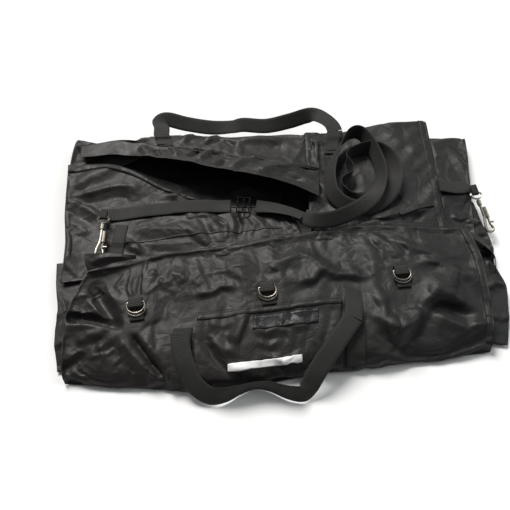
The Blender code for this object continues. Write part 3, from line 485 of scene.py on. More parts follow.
class Cloth(Surface):
    """A panel of cloth: its grid of points, where it is held, and its folds."""

    def __init__(self, name, net, columns, rows, folds=(), creases=(), facets=(), seed=0, cap=0.014):
        self.name = name
        self.flat = sheet_points(net, columns, rows)
        super().__init__(self.flat.copy())
        self.cap = cap
        self.facets = facets
        self.creases = creases
        self.seed = seed
        self.v, self.u = np.meshgrid(np.linspace(0, 1, rows + 1), np.linspace(0, 1, columns + 1),
                                     indexing="ij")
        self.held = np.zeros(self.flat.shape[:2])
        self.folds = folds
        self.rise = SOFT_SHARE * fold_heights(self.flat, folds)

    def hold(self, span_u, span_v, margin=0.03, strength=1.0):
        """Keeps a region of the cloth where the frame has it."""
        du = np.maximum(span_u[0] - self.u, self.u - span_u[1])
        dv = np.maximum(span_v[0] - self.v, self.v - span_v[1])
        near_by = np.clip(1 - np.maximum(du, dv) / margin, 0, 1) * strength
        self.held = np.maximum(self.held, near_by)

    def hold_rim(self, margin_u=0.008, margin_v=0.02):
        self.hold((0, 1), (0, 0), margin_v)
        self.hold((0, 1), (1, 1), margin_v)
        self.hold((0, 0), (0, 1), margin_u)
        self.hold((1, 1), (0, 1), margin_u)

    def shape(self):
        """Lifts the folds off the smooth sheet, except where it is held."""
        lift = np.clip(self.rise, -self.cap, self.cap) * (1 - self.held)
        self.points = self.flat + normals_of(self.flat) * lift[..., None]

    def refine(self, times):
        """A finer grid through the settled one, with the sharp creases pressed in."""
        rows, columns = self.points.shape[:2]
        fine = spline_grid(self.points, (columns - 1) * times, (rows - 1) * times)
        held = spline_grid(self.held[..., None], (columns - 1) * times, (rows - 1) * times)[..., 0]
        relief = fold_heights(fine, self.creases) + CRISP_SHARE * fold_heights(fine, self.folds)
        for k, (size, height, stretch) in enumerate(self.facets):
            relief += height * facet_heights(fine, size, self.seed + k, stretch)
        lift = relief * np.clip(1 - held, 0, 1)
        fine = fine + normals_of(fine) * lift[..., None]
        loose = np.clip(1 - 0.6 * held, 0, 1)
        for axis in (0, 1):
            fine[..., axis] += EDGE_WANDER * loose * facet_heights(fine, 0.055, self.seed + 40 + axis, 1.2)
        self.points = fine
        self.held = np.clip(held, 0, 1)


NYLON_CLOTH = {"quality": 5, "mass": 0.12, "tension_stiffness": 30.0, "compression_stiffness": 30.0,
               "shear_stiffness": 20.0, "bending_stiffness": 18.0, "tension_damping": 8.0,
               "shear_damping": 8.0, "bending_damping": 1.0, "air_damping": 2.0}


def settle(cloths, frames, growth):
    """Drapes the panels together over lumpy supports, the cloth a little too large, none past its cap."""
    scene = bpy.context.scene
    made = []
    for k, cloth in enumerate(cloths):
        lumps = facet_heights(cloth.flat, 0.12, 90 + k) * 0.005
        lowered = (0.008 - lumps - 0.5 * np.clip(cloth.rise, -cloth.cap, cloth.cap)) * (1 - 0.8 * cloth.held)
        below = cloth.flat - normals_of(cloth.flat) * lowered[..., None]
        support = bpy.data.objects.new(f"{cloth.name}_support", grid_mesh(f"{cloth.name}_support", below))
        scene.collection.objects.link(support)
        support.modifiers.new("collision", "COLLISION")
        support.collision.thickness_outer = 0.001
        support.collision.cloth_friction = 8.0
        sim = bpy.data.objects.new(f"{cloth.name}_sim", grid_mesh(f"{cloth.name}_sim", cloth.points))
        scene.collection.objects.link(sim)
        group = sim.vertex_groups.new(name="held")
        for index, weight in enumerate(cloth.held.ravel()):
            if weight > 0.001:
                group.add([index], float(weight), "REPLACE")
        modifier = sim.modifiers.new("cloth", "CLOTH")
        settings = modifier.settings
        for setting, value in NYLON_CLOTH.items():
            setattr(settings, setting, value)
        settings.shrink_min = -growth
        settings.vertex_group_mass = "held"
        settings.pin_stiffness = 1.0
        modifier.collision_settings.distance_min = 0.0015
        modifier.point_cache.frame_start = 1
        modifier.point_cache.frame_end = frames
        made.append((cloth, sim, support))
    scene.frame_start = 1
    scene.frame_end = frames
    for step in range(1, frames + 1):
        scene.frame_set(step)
    graph = bpy.context.evaluated_depsgraph_get()
    for cloth, sim, _ in made:
        settled = np.zeros(len(sim.data.vertices) * 3, np.float32)
        sim.evaluated_get(graph).data.vertices.foreach_get("co", settled)
        moved = settled.reshape(cloth.points.shape).astype(float) - cloth.flat
        length = np.linalg.norm(moved, axis=2, keepdims=True)
        cloth.points = cloth.flat + moved * np.minimum(1.0, cloth.cap / np.maximum(length, 1e-9))
    for _, sim, support in made:
        bpy.data.objects.remove(sim)
        bpy.data.objects.remove(support)
    scene.frame_set(1)


def cloth_piece(cloth, material, replaces, body="bag"):
    """The panel as a thin closed sheet."""
    made = add_piece(cloth.name, grid_mesh(cloth.name, cloth.points), material, body, replaces)
    thicken(made, CLOTH_THICKNESS)
    return made


# ---- ribbons, patches and stitches ------------------------------------------------------------------
def finished_mesh(bm, name):
    """A mesh made from bmesh, with its faces turned outwards."""
    bmesh.ops.recalc_face_normals(bm, faces=bm.faces)
    mesh = bpy.data.meshes.new(name)
    bm.to_mesh(mesh)
    bm.free()
    return mesh


def ribbon_mesh(name, centres, across, normals, width, thickness):
    """A strip of webbing with rounded edges, its UVs in metres: U across, V along."""
    half = width / 2
    edge = thickness * 0.5
    profile = [(-half, 0.0)]
    profile += [(s, 1.0) for s in np.linspace(-half + edge, half - edge, 7)]
    profile += [(half, 0.0)]
    profile += [(s, -1.0) for s in np.linspace(half - edge, -half + edge, 7)]
    count = len(profile)
    bm = bmesh.new()
    layer = bm.loops.layers.uv.new("webbing")
    run = run_of(centres)
    rings = []
    for k in range(len(centres)):
        rings.append([bm.verts.new(centres[k] + across[k] * s + normals[k] * edge * n) for s, n in profile])
    for k in range(len(rings) - 1):
        for p in range(count):
            q = (p + 1) % count
            face = bm.faces.new((rings[k][p], rings[k][q], rings[k + 1][q], rings[k + 1][p]))
            face.smooth = True
            for loop, (i, j) in zip(face.loops, ((k, p), (k, q), (k + 1, q), (k + 1, p))):
                loop[layer].uv = (profile[j][0] + half, run[i])
    for ring in (rings[0][::-1], rings[-1]):
        bm.faces.new(ring)
    return finished_mesh(bm, name)


def route_frames(route, steps):
    """Centres, across and normal directions along a route of x, y, z and lean in degrees."""
    t = np.linspace(0, 1, steps + 1)
    line = spline_through(np.array(route, float), t)
    centres = line[:, :3] - ORIGIN
    tangent = unit(np.gradient(centres, axis=0))
    side = unit(np.cross(tangent, (0.0, 0.0, 1.0)))
    rise = np.cross(side, tangent)
    lean = np.radians(line[:, 3:4])
    across = side * np.cos(lean) + rise * np.sin(lean)
    return centres, across, np.cross(across, tangent)


def webbing(name, route, width, steps, body="bag", replaces=(), thickness=WEBBING, material="webbing"):
    centres, across, normals = route_frames(route, steps)
    mesh = ribbon_mesh(name, centres, across, normals, width, thickness)
    return add_piece(name, mesh, material, body, replaces)


def resting(route, surfaces, width, lift=0.0012, steps=60):
    """The same route, laid on whatever surface is highest under the strip's width."""
    line = spline_through(np.array(route, float), np.linspace(0, 1, steps))
    ground = np.concatenate([surface.points.reshape(-1, 3) for surface in surfaces]) + ORIGIN
    heights = []
    for x, y, z, _ in line:
        near_by = ground[np.hypot(ground[:, 0] - x, ground[:, 1] - y) < width * 0.5]
        heights.append(near_by[:, 2].max() + lift if len(near_by) else z)
    smooth = np.convolve(np.pad(heights, 3, mode="edge"), np.ones(7) / 7, mode="valid")
    line[:, 2] = np.maximum(smooth, heights)
    return line


def patch(name, cloth, span_u, span_v, counts, lift, thickness, material, replaces=(), bulge=0.0,
          relief=()):
    """A closed patch of cloth or webbing sewn on a panel, following its folds."""
    s, t = np.meshgrid(np.linspace(0, 1, counts[0] + 1), np.linspace(0, 1, counts[1] + 1))
    u = span_u[0] + (span_u[1] - span_u[0]) * s
    v = span_v[0] + (span_v[1] - span_v[0]) * t
    points, normals = cloth.sampled(u, v, lift + thickness)
    inside = (16 * s * (1 - s) * t * (1 - t)) ** 0.5
    swell = bulge * inside
    if relief:
        heights = fold_heights(points, relief)
        swell = swell + np.maximum(heights, -bulge) * np.clip(4 * inside, 0, 1)
    points = points + normals * swell[..., None]
    made = add_piece(name, grid_mesh(name, points), material, "bag", replaces)
    if material == "webbing":
        add_uv(made.data, points)
    thicken(made, thickness)
    return Surface(points)


def add_uv(mesh, points):
    """UVs in metres on a grid mesh: U across its columns, V along its rows."""
    columns = points.shape[1]
    u = run_of(points[0])
    v = run_of(points[:, 0])
    layer = mesh.uv_layers.new(name="webbing")
    corner = np.zeros(len(mesh.loops), np.int32)
    mesh.loops.foreach_get("vertex_index", corner)
    values = np.stack([u[corner % columns], v[corner // columns]], axis=1)
    layer.data.foreach_set("uv", values.astype(np.float32).ravel())


def stitch_mesh(name, lines, length=0.0030, gap=0.0014, radius=0.00045):
    """Rows of short raised stitches along lines of (points, normals)."""
    bm = bmesh.new()
    for points, normals in lines:
        run = run_of(points)
        for start in np.arange(gap, run[-1] - length, length + gap):
            where = [start, start + length * 0.25, start + length * 0.75, start + length]
            spots = np.stack([np.interp(where, run, points[:, a]) for a in range(3)], axis=1)
            normal = np.array([np.interp(start, run, normals[:, a]) for a in range(3)])
            along = spots[3] - spots[0]
            along /= max(np.linalg.norm(along), 1e-9)
            side = np.cross(along, normal)
            rings = []
            for spot, swell in zip(spots, (0.35, 1.0, 1.0, 0.35)):
                reach = radius * swell
                rings.append([bm.verts.new(spot + reach * (side * math.cos(a) + normal * math.sin(a)))
                              for a in np.arange(6) * math.pi / 3])
            for here, there in zip(rings, rings[1:]):
                for p in range(6):
                    q = (p + 1) % 6
                    bm.faces.new((here[p], here[q], there[q], there[p])).smooth = True
            bm.faces.new(rings[0][::-1])
            bm.faces.new(rings[-1])
    return finished_mesh(bm, name)


def cloth_line(cloth, path, lift, steps=160):
    """Points and normals along a path of u, v places on a cloth."""
    line = np.array(path, float)
    t = np.linspace(0, len(path) - 1, steps)
    u = np.interp(t, range(len(path)), line[:, 0])
    v = np.interp(t, range(len(path)), line[:, 1])
    return cloth.sampled(u, v, lift)


def stitches(name, cloth, paths, lift=0.0003):
    """Stitching sewn along paths of u, v places on a cloth."""
    return add_piece(name, stitch_mesh(name, [cloth_line(cloth, path, lift) for path in paths]), "thread")


# ---- the folds that the cloth lies in: path, height, width on the near side and on the far side --------
NEAR_FOLDS = in_metres([
    ([(235, 108), (270, 80), (300, 66), (330, 85), (355, 125), (390, 150), (430, 138), (462, 118)],
     17, 28, 70),
    ([(372, 108), (410, 85), (445, 74), (492, 88)], 10, 36, 30),
    ([(372, 118), (410, 122), (455, 106)], -8, 16, 18),
    ([(255, 122), (300, 150)], 6, 20, 34),
    ([(312, 130), (348, 100)], 6, 22, 18),
    ([(95, 178), (125, 184), (140, 204), (170, 208)], 7, 14, 45),
    ([(150, 197), (195, 196), (245, 193)], 6, 14, 35),
    ([(262, 315), (300, 270), (325, 228)], 6, 22, 22),
    ([(300, 300), (360, 262), (430, 240)], 5, 30, 20),
    ([(350, 225), (400, 228), (450, 208)], 5, 24, 22),
    ([(370, 150), (410, 172), (445, 202), (478, 200), (492, 150)], 7, 30, 40),
    ([(10, 222), (55, 224), (100, 246), (142, 232)], 7, 38, 30),
    ([(-150, 188), (-100, 200), (-45, 212), (10, 222)], 6, 30, 50),
    ([(-130, 146), (-92, 150), (-72, 165), (-40, 163)], 7, 10, 34),
    ([(-415, 101), (-350, 97), (-300, 83), (-263, 67)], -12, 15, 12),
    ([(-410, 78), (-350, 78), (-290, 66)], 6, 26, 12),
    ([(-358, 188), (-335, 140), (-300, 95), (-263, 67)], -13, 16, 24),
    ([(-375, 165), (-355, 130), (-325, 103)], 5, 22, 20),
    ([(-263, 67), (-235, 30), (-210, -4), (-178, -34)], -11, 12, 12),
    ([(-244, 62), (-205, 16), (-168, -20)], 6, 12, 26),
    ([(-278, 50), (-248, 12), (-214, -24)], 6, 30, 12),
    ([(-263, 67), (-235, 66), (-198, 85)], -6, 20, 8),
    ([(-395, -18), (-372, -2), (-348, 18)], -8, 16, 14),
    ([(-370, 40), (-345, 56), (-310, 56)], 6, 16, 18),
    ([(-330, 20), (-300, 45), (-285, 50)], 5, 16, 16),
    ([(-130, 52), (-134, 15), (-128, -18)], -10, 12, 12),
    ([(-108, 50), (-88, 12), (-50, -12)], -7, 16, 14),
    ([(-95, 55), (-68, 25), (-35, 12)], 6, 14, 30),
    ([(-80, 12), (-45, -14), (-5, -14)], 6, 14, 12),
    ([(-22, 110), (-30, 65), (-45, 32)], 6, 40, 14),
    ([(-245, 184), (-212, 204)], 4, 18, 26),
    ([(-205, 172), (-176, 182)], 3, 14, 22),
    ([(-190, 202), (-162, 192), (-150, 172)], 4, 18, 24),
    ([(-135, 190), (-116, 166)], 3.5, 18, 20),
    ([(-205, 262), (-235, 236)], 6, 16, 16),
])
NEAR_CREASES = in_metres([
    ([(-256, 132), (-272, 160), (-268, 198)], 3.5, 9, 8),
    ([(-243, 135), (-250, 165), (-246, 200)], -3, 7, 7),
    ([(-234, 138), (-216, 165), (-196, 190)], 3.5, 8, 9),
    ([(-285, 200), (-300, 170), (-282, 150)], 3, 9, 9),
    ([(-415, 101), (-350, 97), (-300, 83), (-263, 67)], -2.5, 6, 6),
    ([(-263, 67), (-235, 30), (-210, -4), (-178, -34)], -2.5, 6, 6),
    ([(-345, 10), (-300, 18), (-285, 30)], 3, 8, 8),
    ([(-320, -20), (-310, 10), (-322, 40)], 3, 8, 8),
    ([(-290, -10), (-270, 12), (-274, 40)], 3, 8, 8),
    ([(-215, -20), (-200, -32)], 3, 8, 8),
    ([(-190, 195), (-160, 190), (-148, 172)], 1.5, 8, 12),
    ([(30, 215), (52, 205), (60, 178)], 3, 8, 10),
    ([(262, 300), (285, 262), (282, 235)], 3, 8, 10),
    ([(310, 295), (320, 262), (345, 235)], 3, 9, 9),
    ([(330, 285), (345, 262), (338, 240)], 2.5, 8, 8),
    ([(235, 108), (270, 80), (300, 66), (330, 85), (355, 125), (390, 150)], 2.5, 7, 10),
    ([(215, 110), (240, 95), (265, 88)], 2.5, 6, 8),
    ([(40, 10), (75, -6), (100, 12)], 3, 8, 8),
    ([(-10, 90), (30, 85), (80, 92)], 2.5, 6, 8),
    ([(150, 105), (175, 110), (195, 104)], -3, 7, 7),
])
MIDDLE_FOLDS = in_metres([
    ([(-462, 428), (-400, 444), (-340, 460), (-300, 462), (-275, 425)], 12, 28, 70),
    ([(-452, 420), (-405, 400), (-360, 368)], 8, 26, 14),
    ([(-300, 326), (-250, 336), (-200, 331), (-150, 328), (-115, 308)], 10, 34, 32),
    ([(-255, 292), (-200, 292), (-140, 292)], 5, 18, 14),
    ([(-440, 455), (-400, 492), (-335, 520)], 6, 50, 50),
    ([(-48, 385), (-36, 345), (-42, 300)], -8, 14, 14),
    ([(-15, 380), (10, 345), (36, 305)], 6, 16, 18),
    ([(65, 380), (75, 345), (100, 318)], 6, 14, 14),
    ([(-235, 438), (-180, 428), (-120, 420)], 5, 14, 30),
    ([(-300, 312), (-282, 282), (-250, 268)], 6, 14, 16),
    ([(-425, 330), (-430, 280), (-415, 235)], 6, 18, 30),
    ([(-110, 345), (-75, 325), (-58, 300)], 6, 18, 18),
    ([(-445, 360), (-410, 345), (-385, 320)], 4, 20, 20),
])
MIDDLE_CREASES = in_metres([
    ([(-462, 426), (-400, 440), (-340, 456), (-300, 458)], 2.5, 6, 12),
    ([(-240, 440), (-220, 450), (-190, 445)], 2.5, 8, 8),
    ([(-200, 425), (-180, 440), (-150, 430)], 2.5, 7, 8),
    ([(-170, 362), (-120, 372), (-80, 360)], 3, 8, 10),
    ([(-100, 372), (-70, 350), (-64, 310)], 3, 8, 8),
    ([(-20, 372), (-4, 340), (-10, 305)], 3, 8, 8),
    ([(-280, 345), (-240, 362), (-180, 366)], 2.5, 8, 10),
    ([(-300, 300), (-270, 290), (-262, 262)], 3, 8, 8),
])
FAR_FOLDS = in_metres([
    ([(-128, 582), (-100, 600), (-80, 612)], -8, 12, 12),
    ([(-80, 612), (-52, 584)], -8, 12, 12),
    ([(-130, 605), (-90, 632)], 5, 14, 14),
    ([(-50, 600), (10, 612), (80, 610)], 6, 20, 24),
    ([(-300, 600), (-270, 618), (-240, 610)], 6, 18, 18),
    ([(-190, 590), (-170, 620), (-150, 628)], 6, 16, 18),
    ([(-462, 612), (-440, 590), (-415, 572)], 7, 12, 12),
    ([(-428, 626), (-418, 600), (-402, 575)], 7, 10, 10),
    ([(-440, 610), (-428, 585)], -8, 12, 12),
])
LIP_FOLDS = in_metres([
    ([(-58, 545), (-30, 572), (30, 584), (100, 578)], 9, 14, 30),
    ([(-165, 525), (-138, 560)], -9, 14, 14),
    ([(-140, 500), (-118, 540), (-85, 566)], 8, 14, 22),
    ([(-212, 575), (-190, 520)], 7, 12, 16),
    ([(-288, 580), (-262, 535)], 6, 14, 18),
    ([(-250, 570), (-232, 530)], -6, 12, 12),
    ([(-60, 475), (-30, 515), (20, 535)], 8, 18, 24),
    ([(-90, 482), (-68, 520)], -7, 12, 14),
    ([(0, 470), (45, 500), (110, 505)], 8, 18, 26),
    ([(20, 455), (70, 470), (120, 455)], -6, 12, 16),
])
LID_FOLDS = in_metres([
    ([(150, 545), (195, 532)], -5, 20, 20),
    ([(268, 344), (330, 366), (415, 386)], 10, 10, 40),
    ([(365, 350), (395, 368)], -5, 10, 10),
    ([(330, 640), (380, 600), (420, 560)], 4, 30, 30),
    ([(300, 440), (330, 420), (350, 430)], -6, 14, 14),
    ([(140, 600), (190, 598)], 4, 14, 18),
    ([(330, 510), (370, 520), (420, 515)], 3, 20, 20),
])
RIGHT_END_FOLDS = in_metres([
    ([(465, 380), (490, 372), (512, 385)], 5, 12, 18),
    ([(470, 345), (490, 352), (510, 340)], -5, 10, 10),
    ([(500, 600), (520, 540), (530, 480)], 4, 20, 20),
])
# Random facets under the folds: how far across they are, how high, and how much longer one way.
FACETS = [(0.086, 0.0062, 1.5), (0.036, 0.0013, 1.3), (0.016, 0.0003, 1.3)]
FLAT_FACETS = [(0.086, 0.0034, 1.5), (0.036, 0.0012, 1.3), (0.016, 0.0003, 1.3)]

# These sheets reach past the frame's panels and under or over their neighbours; the lip's by 0.11 m at
# its left end. They are in metres.
FAR_SHEET = [
    [(-0.470, 0.505, 0.0240), (-0.356, 0.530, 0.0300)] + FAR_NET[0][2:] + [(0.155, 0.500, 0.0620)],
    FAR_NET[1] + [(0.156, 0.570, 0.0600)],
    FAR_NET[2] + [(0.156, 0.637, 0.0530)],
    FAR_NET[3] + [(0.157, 0.656, 0.0120)],
]
LIP_SHEET = [
    [(-0.440, 0.548, 0.0550)] + LIP_NET[0] + [(0.152, 0.412, 0.0640)],
    [(-0.444, 0.586, 0.0480)] + LIP_NET[1] + [(0.156, 0.482, 0.0640)],
    [(-0.446, 0.598, 0.0450), (-0.335, 0.602, 0.0640), (-0.227, 0.580, 0.0668), (-0.117, 0.557, 0.0686),
     (-0.002, 0.534, 0.0704), (0.092, 0.515, 0.0712), (0.158, 0.506, 0.0640)],
]
LID_SHEET = [row[:-1] + [(row[-1][0] + 0.010, row[-1][1], row[-1][2])] for row in LID_NET]

near = Cloth("near_panel_cloth", NEAR_NET, 120, 46, NEAR_FOLDS, NEAR_CREASES, FACETS, 11, 0.016)
middle = Cloth("middle_panel_cloth", MIDDLE_NET, 72, 40, MIDDLE_FOLDS, MIDDLE_CREASES, FLAT_FACETS, 21)
far = Cloth("far_panel_cloth", FAR_SHEET, 80, 20, FAR_FOLDS, (), FACETS, 31, 0.010)
lid = Cloth("lid_panel_cloth", LID_SHEET, 42, 52, LID_FOLDS, (), FACETS, 41, 0.010)
right_end = Cloth("right_end_cloth", RIGHT_END_NET, 14, 46, RIGHT_END_FOLDS, (), [(0.050, 0.002, 1.3)],
                  51, 0.008)
CLOTHS = [near, middle, far, lid, right_end]


def build_panels():
    """The five large panels, held where something is sewn on them and settled together."""
    for cloth in CLOTHS:
        cloth.hold_rim()
    for u, v in NEAR_RINGS.values():
        near.hold((u - 0.020, u + 0.020), (v - 0.12, v + 0.05), 0.04)
    for handle_end in (0.302, 0.714):
        near.hold((handle_end - 0.02, handle_end + 0.02), (0.30, 0.46), 0.05, 0.8)
    near.hold((0.33, 0.69), (0.10, 0.53), 0.03, 0.35)       # under the pocket
    far.hold((0.28, 1.0), (0.0, 0.06), 0.08, 0.9)           # along the mouth
    far.hold((0.29, 0.38), (0.0, 0.45), 0.03, 0.8)          # under the far handle's left leg
    for cloth in CLOTHS:
        cloth.shape()
    settle(CLOTHS, SETTLE_FRAMES, CLOTH_GROWTH)
    for cloth in CLOTHS:
        cloth.refine(REFINE)
    for cloth, node in zip(CLOTHS, ("near_side_panel", "top_near_panel", "far_side_panel", "top_far_panel",
                                    "right_end_panel")):
        cloth_piece(cloth, "nylon", [node])


def build_lip():
    """The raised far lip of the mouth, bending where it joins the far panel."""
    lip = Cloth("mouth_lip_cloth", LIP_SHEET, 72, 20, LIP_FOLDS, (), FACETS, 61, 0.010)
    lip.hold((0, 1), (0.94, 1.0), 0.06)
    lip.shape()
    lip.refine(REFINE)
    made = cloth_piece(lip, "nylon", ["mouth_lip", "mouth_lip_hem"], body=None)
    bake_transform(made)


# ---- the smaller pieces -----------------------------------------------------------------------------
LINING_NET = in_metres([
    [(-330, 452, 30), (-150, 400, 30), (60, 380, 30)],
    [(-330, 520, 32), (-150, 480, 33), (70, 470, 32)],
    [(-330, 596, 34), (-150, 570, 35), (80, 560, 34)],
])
LEFT_END_SHEET = in_metres([
    [(-409, -9, 6.8), (-380, -5, 6.8), (-330, 0, 6.8)],
    [(-424, 60, 16), (-385, 60, 20), (-330, 60, 22)],
    [(-428, 130, 20), (-385, 130, 26), (-330, 130, 28)],
    [(-440, 186, 24), (-385, 192, 28), (-330, 194, 28)],
    [(-448, 245, 26), (-390, 248, 30), (-330, 250, 30)],
])
RIGHT_LAYER_SHEET = in_metres([
    [(400, 62, 7), (470, 58, 7), (534, 52, 7)],
    [(400, 120, 18), (480, 120, 18), (550, 120, 14)],
    [(400, 190, 24), (490, 190, 24), (560, 188, 18)],
    [(400, 245, 26), (490, 250, 24), (548, 240, 19)],
    [(420, 310, 27), (490, 320, 26), (550, 310, 19)],
    [(430, 380, 28), (490, 388, 28), (538, 380, 24)],
    [(440, 420, 28), (490, 428, 30), (530, 424, 30)],
])
CORNER_NET = in_metres([
    [(-366, 205, 59), (-310, 222, 64), (-262, 234, 63.5)],
    [(-374, 224, 68), (-330, 230, 73), (-262, 237, 66.5)],
    [(-376, 242, 72), (-336, 242, 77), (-262, 240, 69)],
])
LINING_FOLDS = in_metres([
    ([(-250, 500), (-180, 470), (-100, 480)], 4, 20, 20),
    ([(-80, 440), (-20, 470), (30, 440)], 4, 20, 20),
])
LEFT_END_FOLDS = in_metres([
    ([(-425, 40), (-395, 60), (-380, 50)], 4, 12, 14),
    ([(-430, 110), (-405, 128), (-390, 150)], 4, 14, 14),
])
RIGHT_LAYER_FOLDS = in_metres([
    ([(515, 180), (535, 196), (558, 190)], 4, 8, 12),
    ([(510, 120), (530, 110), (552, 116)], 4, 10, 14),
    ([(495, 300), (520, 285), (548, 292)], 6, 10, 12),
    ([(500, 335), (520, 320), (545, 328)], -6, 10, 12),
    ([(505, 262), (528, 272), (550, 258)], -7, 10, 10),
    ([(505, 372), (522, 362), (540, 372)], 6, 10, 12),
    ([(530, 245), (540, 275), (548, 300)], 6, 8, 10),
])
CORNER_FOLDS = in_metres([([(-372, 216), (-330, 230), (-275, 236)], 3, 8, 10)])
POCKET_FOLDS = in_metres([
    ([(-110, 56), (-80, 46), (-50, 36)], -5, 12, 12),
    ([(-92, 30), (-72, 0), (-50, -14)], -5, 12, 12),
    ([(-18, 100), (-28, 64), (-42, 30)], 5, 26, 8),
    ([(-100, 78), (-70, 72), (-40, 82)], 4, 14, 18),
    ([(-30, 116), (60, 128), (190, 140)], 6, 34, 6),
    ([(-10, 70), (20, 58), (45, 66), (75, 60)], 6, 16, 10),
    ([(60, 82), (90, 70), (120, 80)], 5, 14, 9),
    ([(0, 40), (30, 30), (50, 40)], 4, 12, 9),
    ([(20, 12), (60, 0), (90, 16)], 5, 14, 10),
])
BASE_OUTLINE = in_metres([
    (-372, -12), (-124, -18), (160, 20), (470, 64), (500, 200), (500, 560), (430, 640), (200, 620),
    (-100, 600), (-440, 600), (-436, 300), (-398, 100)])

# More routes, written the same way.
LID_EDGE_ROUTE = in_metres([(338, 366, 60, 0), (365, 378, 60, 0), (395, 392, 60, 0), (424, 404, 60, 0)])
LEFT_END_ROUTE = in_metres([
    (-312, 348, 54.5, 0), (-314, 300, 54.5, 0), (-316, 258, 53, 0)])
RIGHT_END_ROUTE = in_metres([
    (505, 320, 37.5, 10), (521, 301, 37, 30), (534, 282, 35, 50), (543.5, 257, 34.5, 66),
    (539.5, 224, 32.5, 74)])
COIL_ROUTE = in_metres([
    (112, 354, 64, -20), (136, 338, 69, -30), (176, 338, 73, -38), (220, 356, 75, -36), (262, 386, 77, -14),
    (290, 424, 79, 26), (304, 478, 81, 52), (294, 545, 84, 62), (268, 600, 87, 66), (240, 602, 86, 82),
    (212, 566, 83, 104), (192, 520, 80, 124), (180, 470, 77, 132), (184, 418, 73, 134), (212, 384, 70, 138),
    (256, 374, 69, 142), (300, 398, 69, 160), (330, 440, 70, 184), (342, 492, 72, 214), (328, 540, 74, 232),
    (296, 562, 75, 244), (258, 556, 74, 256), (226, 530, 73, 262), (236, 484, 71, 282), (208, 446, 69, 258),
    (226, 404, 67, 296), (262, 402, 66, 330), (296, 424, 64, 350), (322, 448, 61, 360)])
FAR_STRAP_ROUTE = in_metres([
    (-238, 612, 71, 0), (-240, 640, 69, -10), (-248, 668, 61, -20), (-232, 690, 52, -28),
    (-180, 682, 43, -26), (-115, 674, 38, -24), (-60, 677, 38, -14), (-30, 682, 40, -26),
    (30, 678, 40, -28), (90, 690, 46, -40), (134, 703, 52, -40), (158, 701, 58, -22), (180, 682, 63, -8),
    (198, 658, 65, 0), (206, 634, 64, 0)])

# Where pieces are sewn, as shares of the length and the height of the cloth under them.
NEAR_LEGS = {"left": (0.281, 0.323), "right": (0.694, 0.734)}
POCKET_U = (0.331, 0.686)
POCKET_V = (0.080, 0.535)
FAR_LEG = (0.304, 0.362)
LID_LEG = (0.180, 0.304)

# The hooks: the place of the eye's bar, the heading and the slope in degrees.
LEFT_HOOK = ((-0.352, 0.354, 0.0580), -90.0, -4.0)
RIGHT_HOOK = ((0.534, 0.440, 0.0440), -78.0, -12.0)
EYE_WIRE = 0.0020
RING_WIRE = 0.0017
TAB_LIFT = 0.0020
TAB_CROWN = 0.0147
RING_WIDTH = 0.040
RING_DEPTH = 0.026
UPPER_RING_BACK = 0.0052
UPPER_RING_RISE = 0.0041
TAPE = 0.0012
TAPE_LIFT = 0.0002

def small_cloth(name, net, counts, folds, facets, seed, cap, material, replaces,
                held=()):
    """A cloth piece that needs no settling of its own."""
    cloth = Cloth(name, net, *counts, folds, (), [facets], seed, cap)
    for span_u, span_v in held:
        cloth.hold(span_u, span_v, 0.08)
    cloth.shape()
    cloth.refine(REFINE)
    made = cloth_piece(cloth, material, replaces)


def build_small_cloths():
    # The mouth's lining sheet, in the near-black lining: painted shade inside the mouth.
    small_cloth("mouth_lining_cloth", LINING_NET, (40, 20), LINING_FOLDS, (0.050, 0.003, 1.3), 71, 0.006,
                "lining", ["mouth_lining"])
    small_cloth("left_end_cloth", LEFT_END_SHEET, (16, 32), LEFT_END_FOLDS, (0.040, 0.003, 1.3), 72, 0.005,
                "nylon", ["left_end_fold"])
    small_cloth("right_end_layers", RIGHT_LAYER_SHEET, (20, 40), RIGHT_LAYER_FOLDS, (0.040, 0.003, 1.3), 73,
                0.009, "nylon", ["right_end_fold"])
    small_cloth("left_corner_cloth", CORNER_NET, (26, 12), CORNER_FOLDS, (0.030, 0.002, 1.3), 74, 0.004,
                "nylon", ["left_corner_flap"],
                [((0, 0.1), (0, 1)), ((0.9, 1), (0, 1))])


def build_base():
    """The underside: a smooth outline drawn in to its centre, laid flat on the floor."""
    base = spline_through(np.array(BASE_OUTLINE + BASE_OUTLINE[:1]), np.linspace(0, 1, 97))
    centre = base.mean(axis=0)
    shrink = np.linspace(1.0, 0.0, 10) ** 0.8
    points = np.array([[[*(centre + (p - centre) * f), 0.0034 if f < 1 else 0.0022] for p in base]
                       for f in shrink])
    points -= ORIGIN
    bottom = add_piece("base_cloth", grid_mesh("base_cloth", points), "nylon", "bag", ["base_panel"])
    thicken(bottom, 0.0018)


def build_seams():
    """Bindings and hems sewn on the panels."""
    patch("mouth_near_binding", middle, (0.0, 1.0), (0.950, 0.998), (150, 4), TAPE_LIFT, TAPE, "nylon",
          ["mouth_near_hem"])
    patch("lid_seam_tape", lid, (0.950, 0.985), (0.02, 0.93), (4, 150), TAPE_LIFT, TAPE, "nylon",
          ["lid_seam_binding"])
    patch("near_end_tape", near, (0.984, 0.998), (0.20, 0.97), (4, 120), TAPE_LIFT, TAPE, "nylon",
          ["near_end_binding"])
    webbing("lid_edge_strip", resting(LID_EDGE_ROUTE, [lid], 0.014), 0.014, 40, thickness=TAPE,
            material="nylon")
    patch("middle_seam", middle, (0.20, 0.92), (0.30, 0.318), (90, 3), TAPE_LIFT, 0.0008, "nylon")


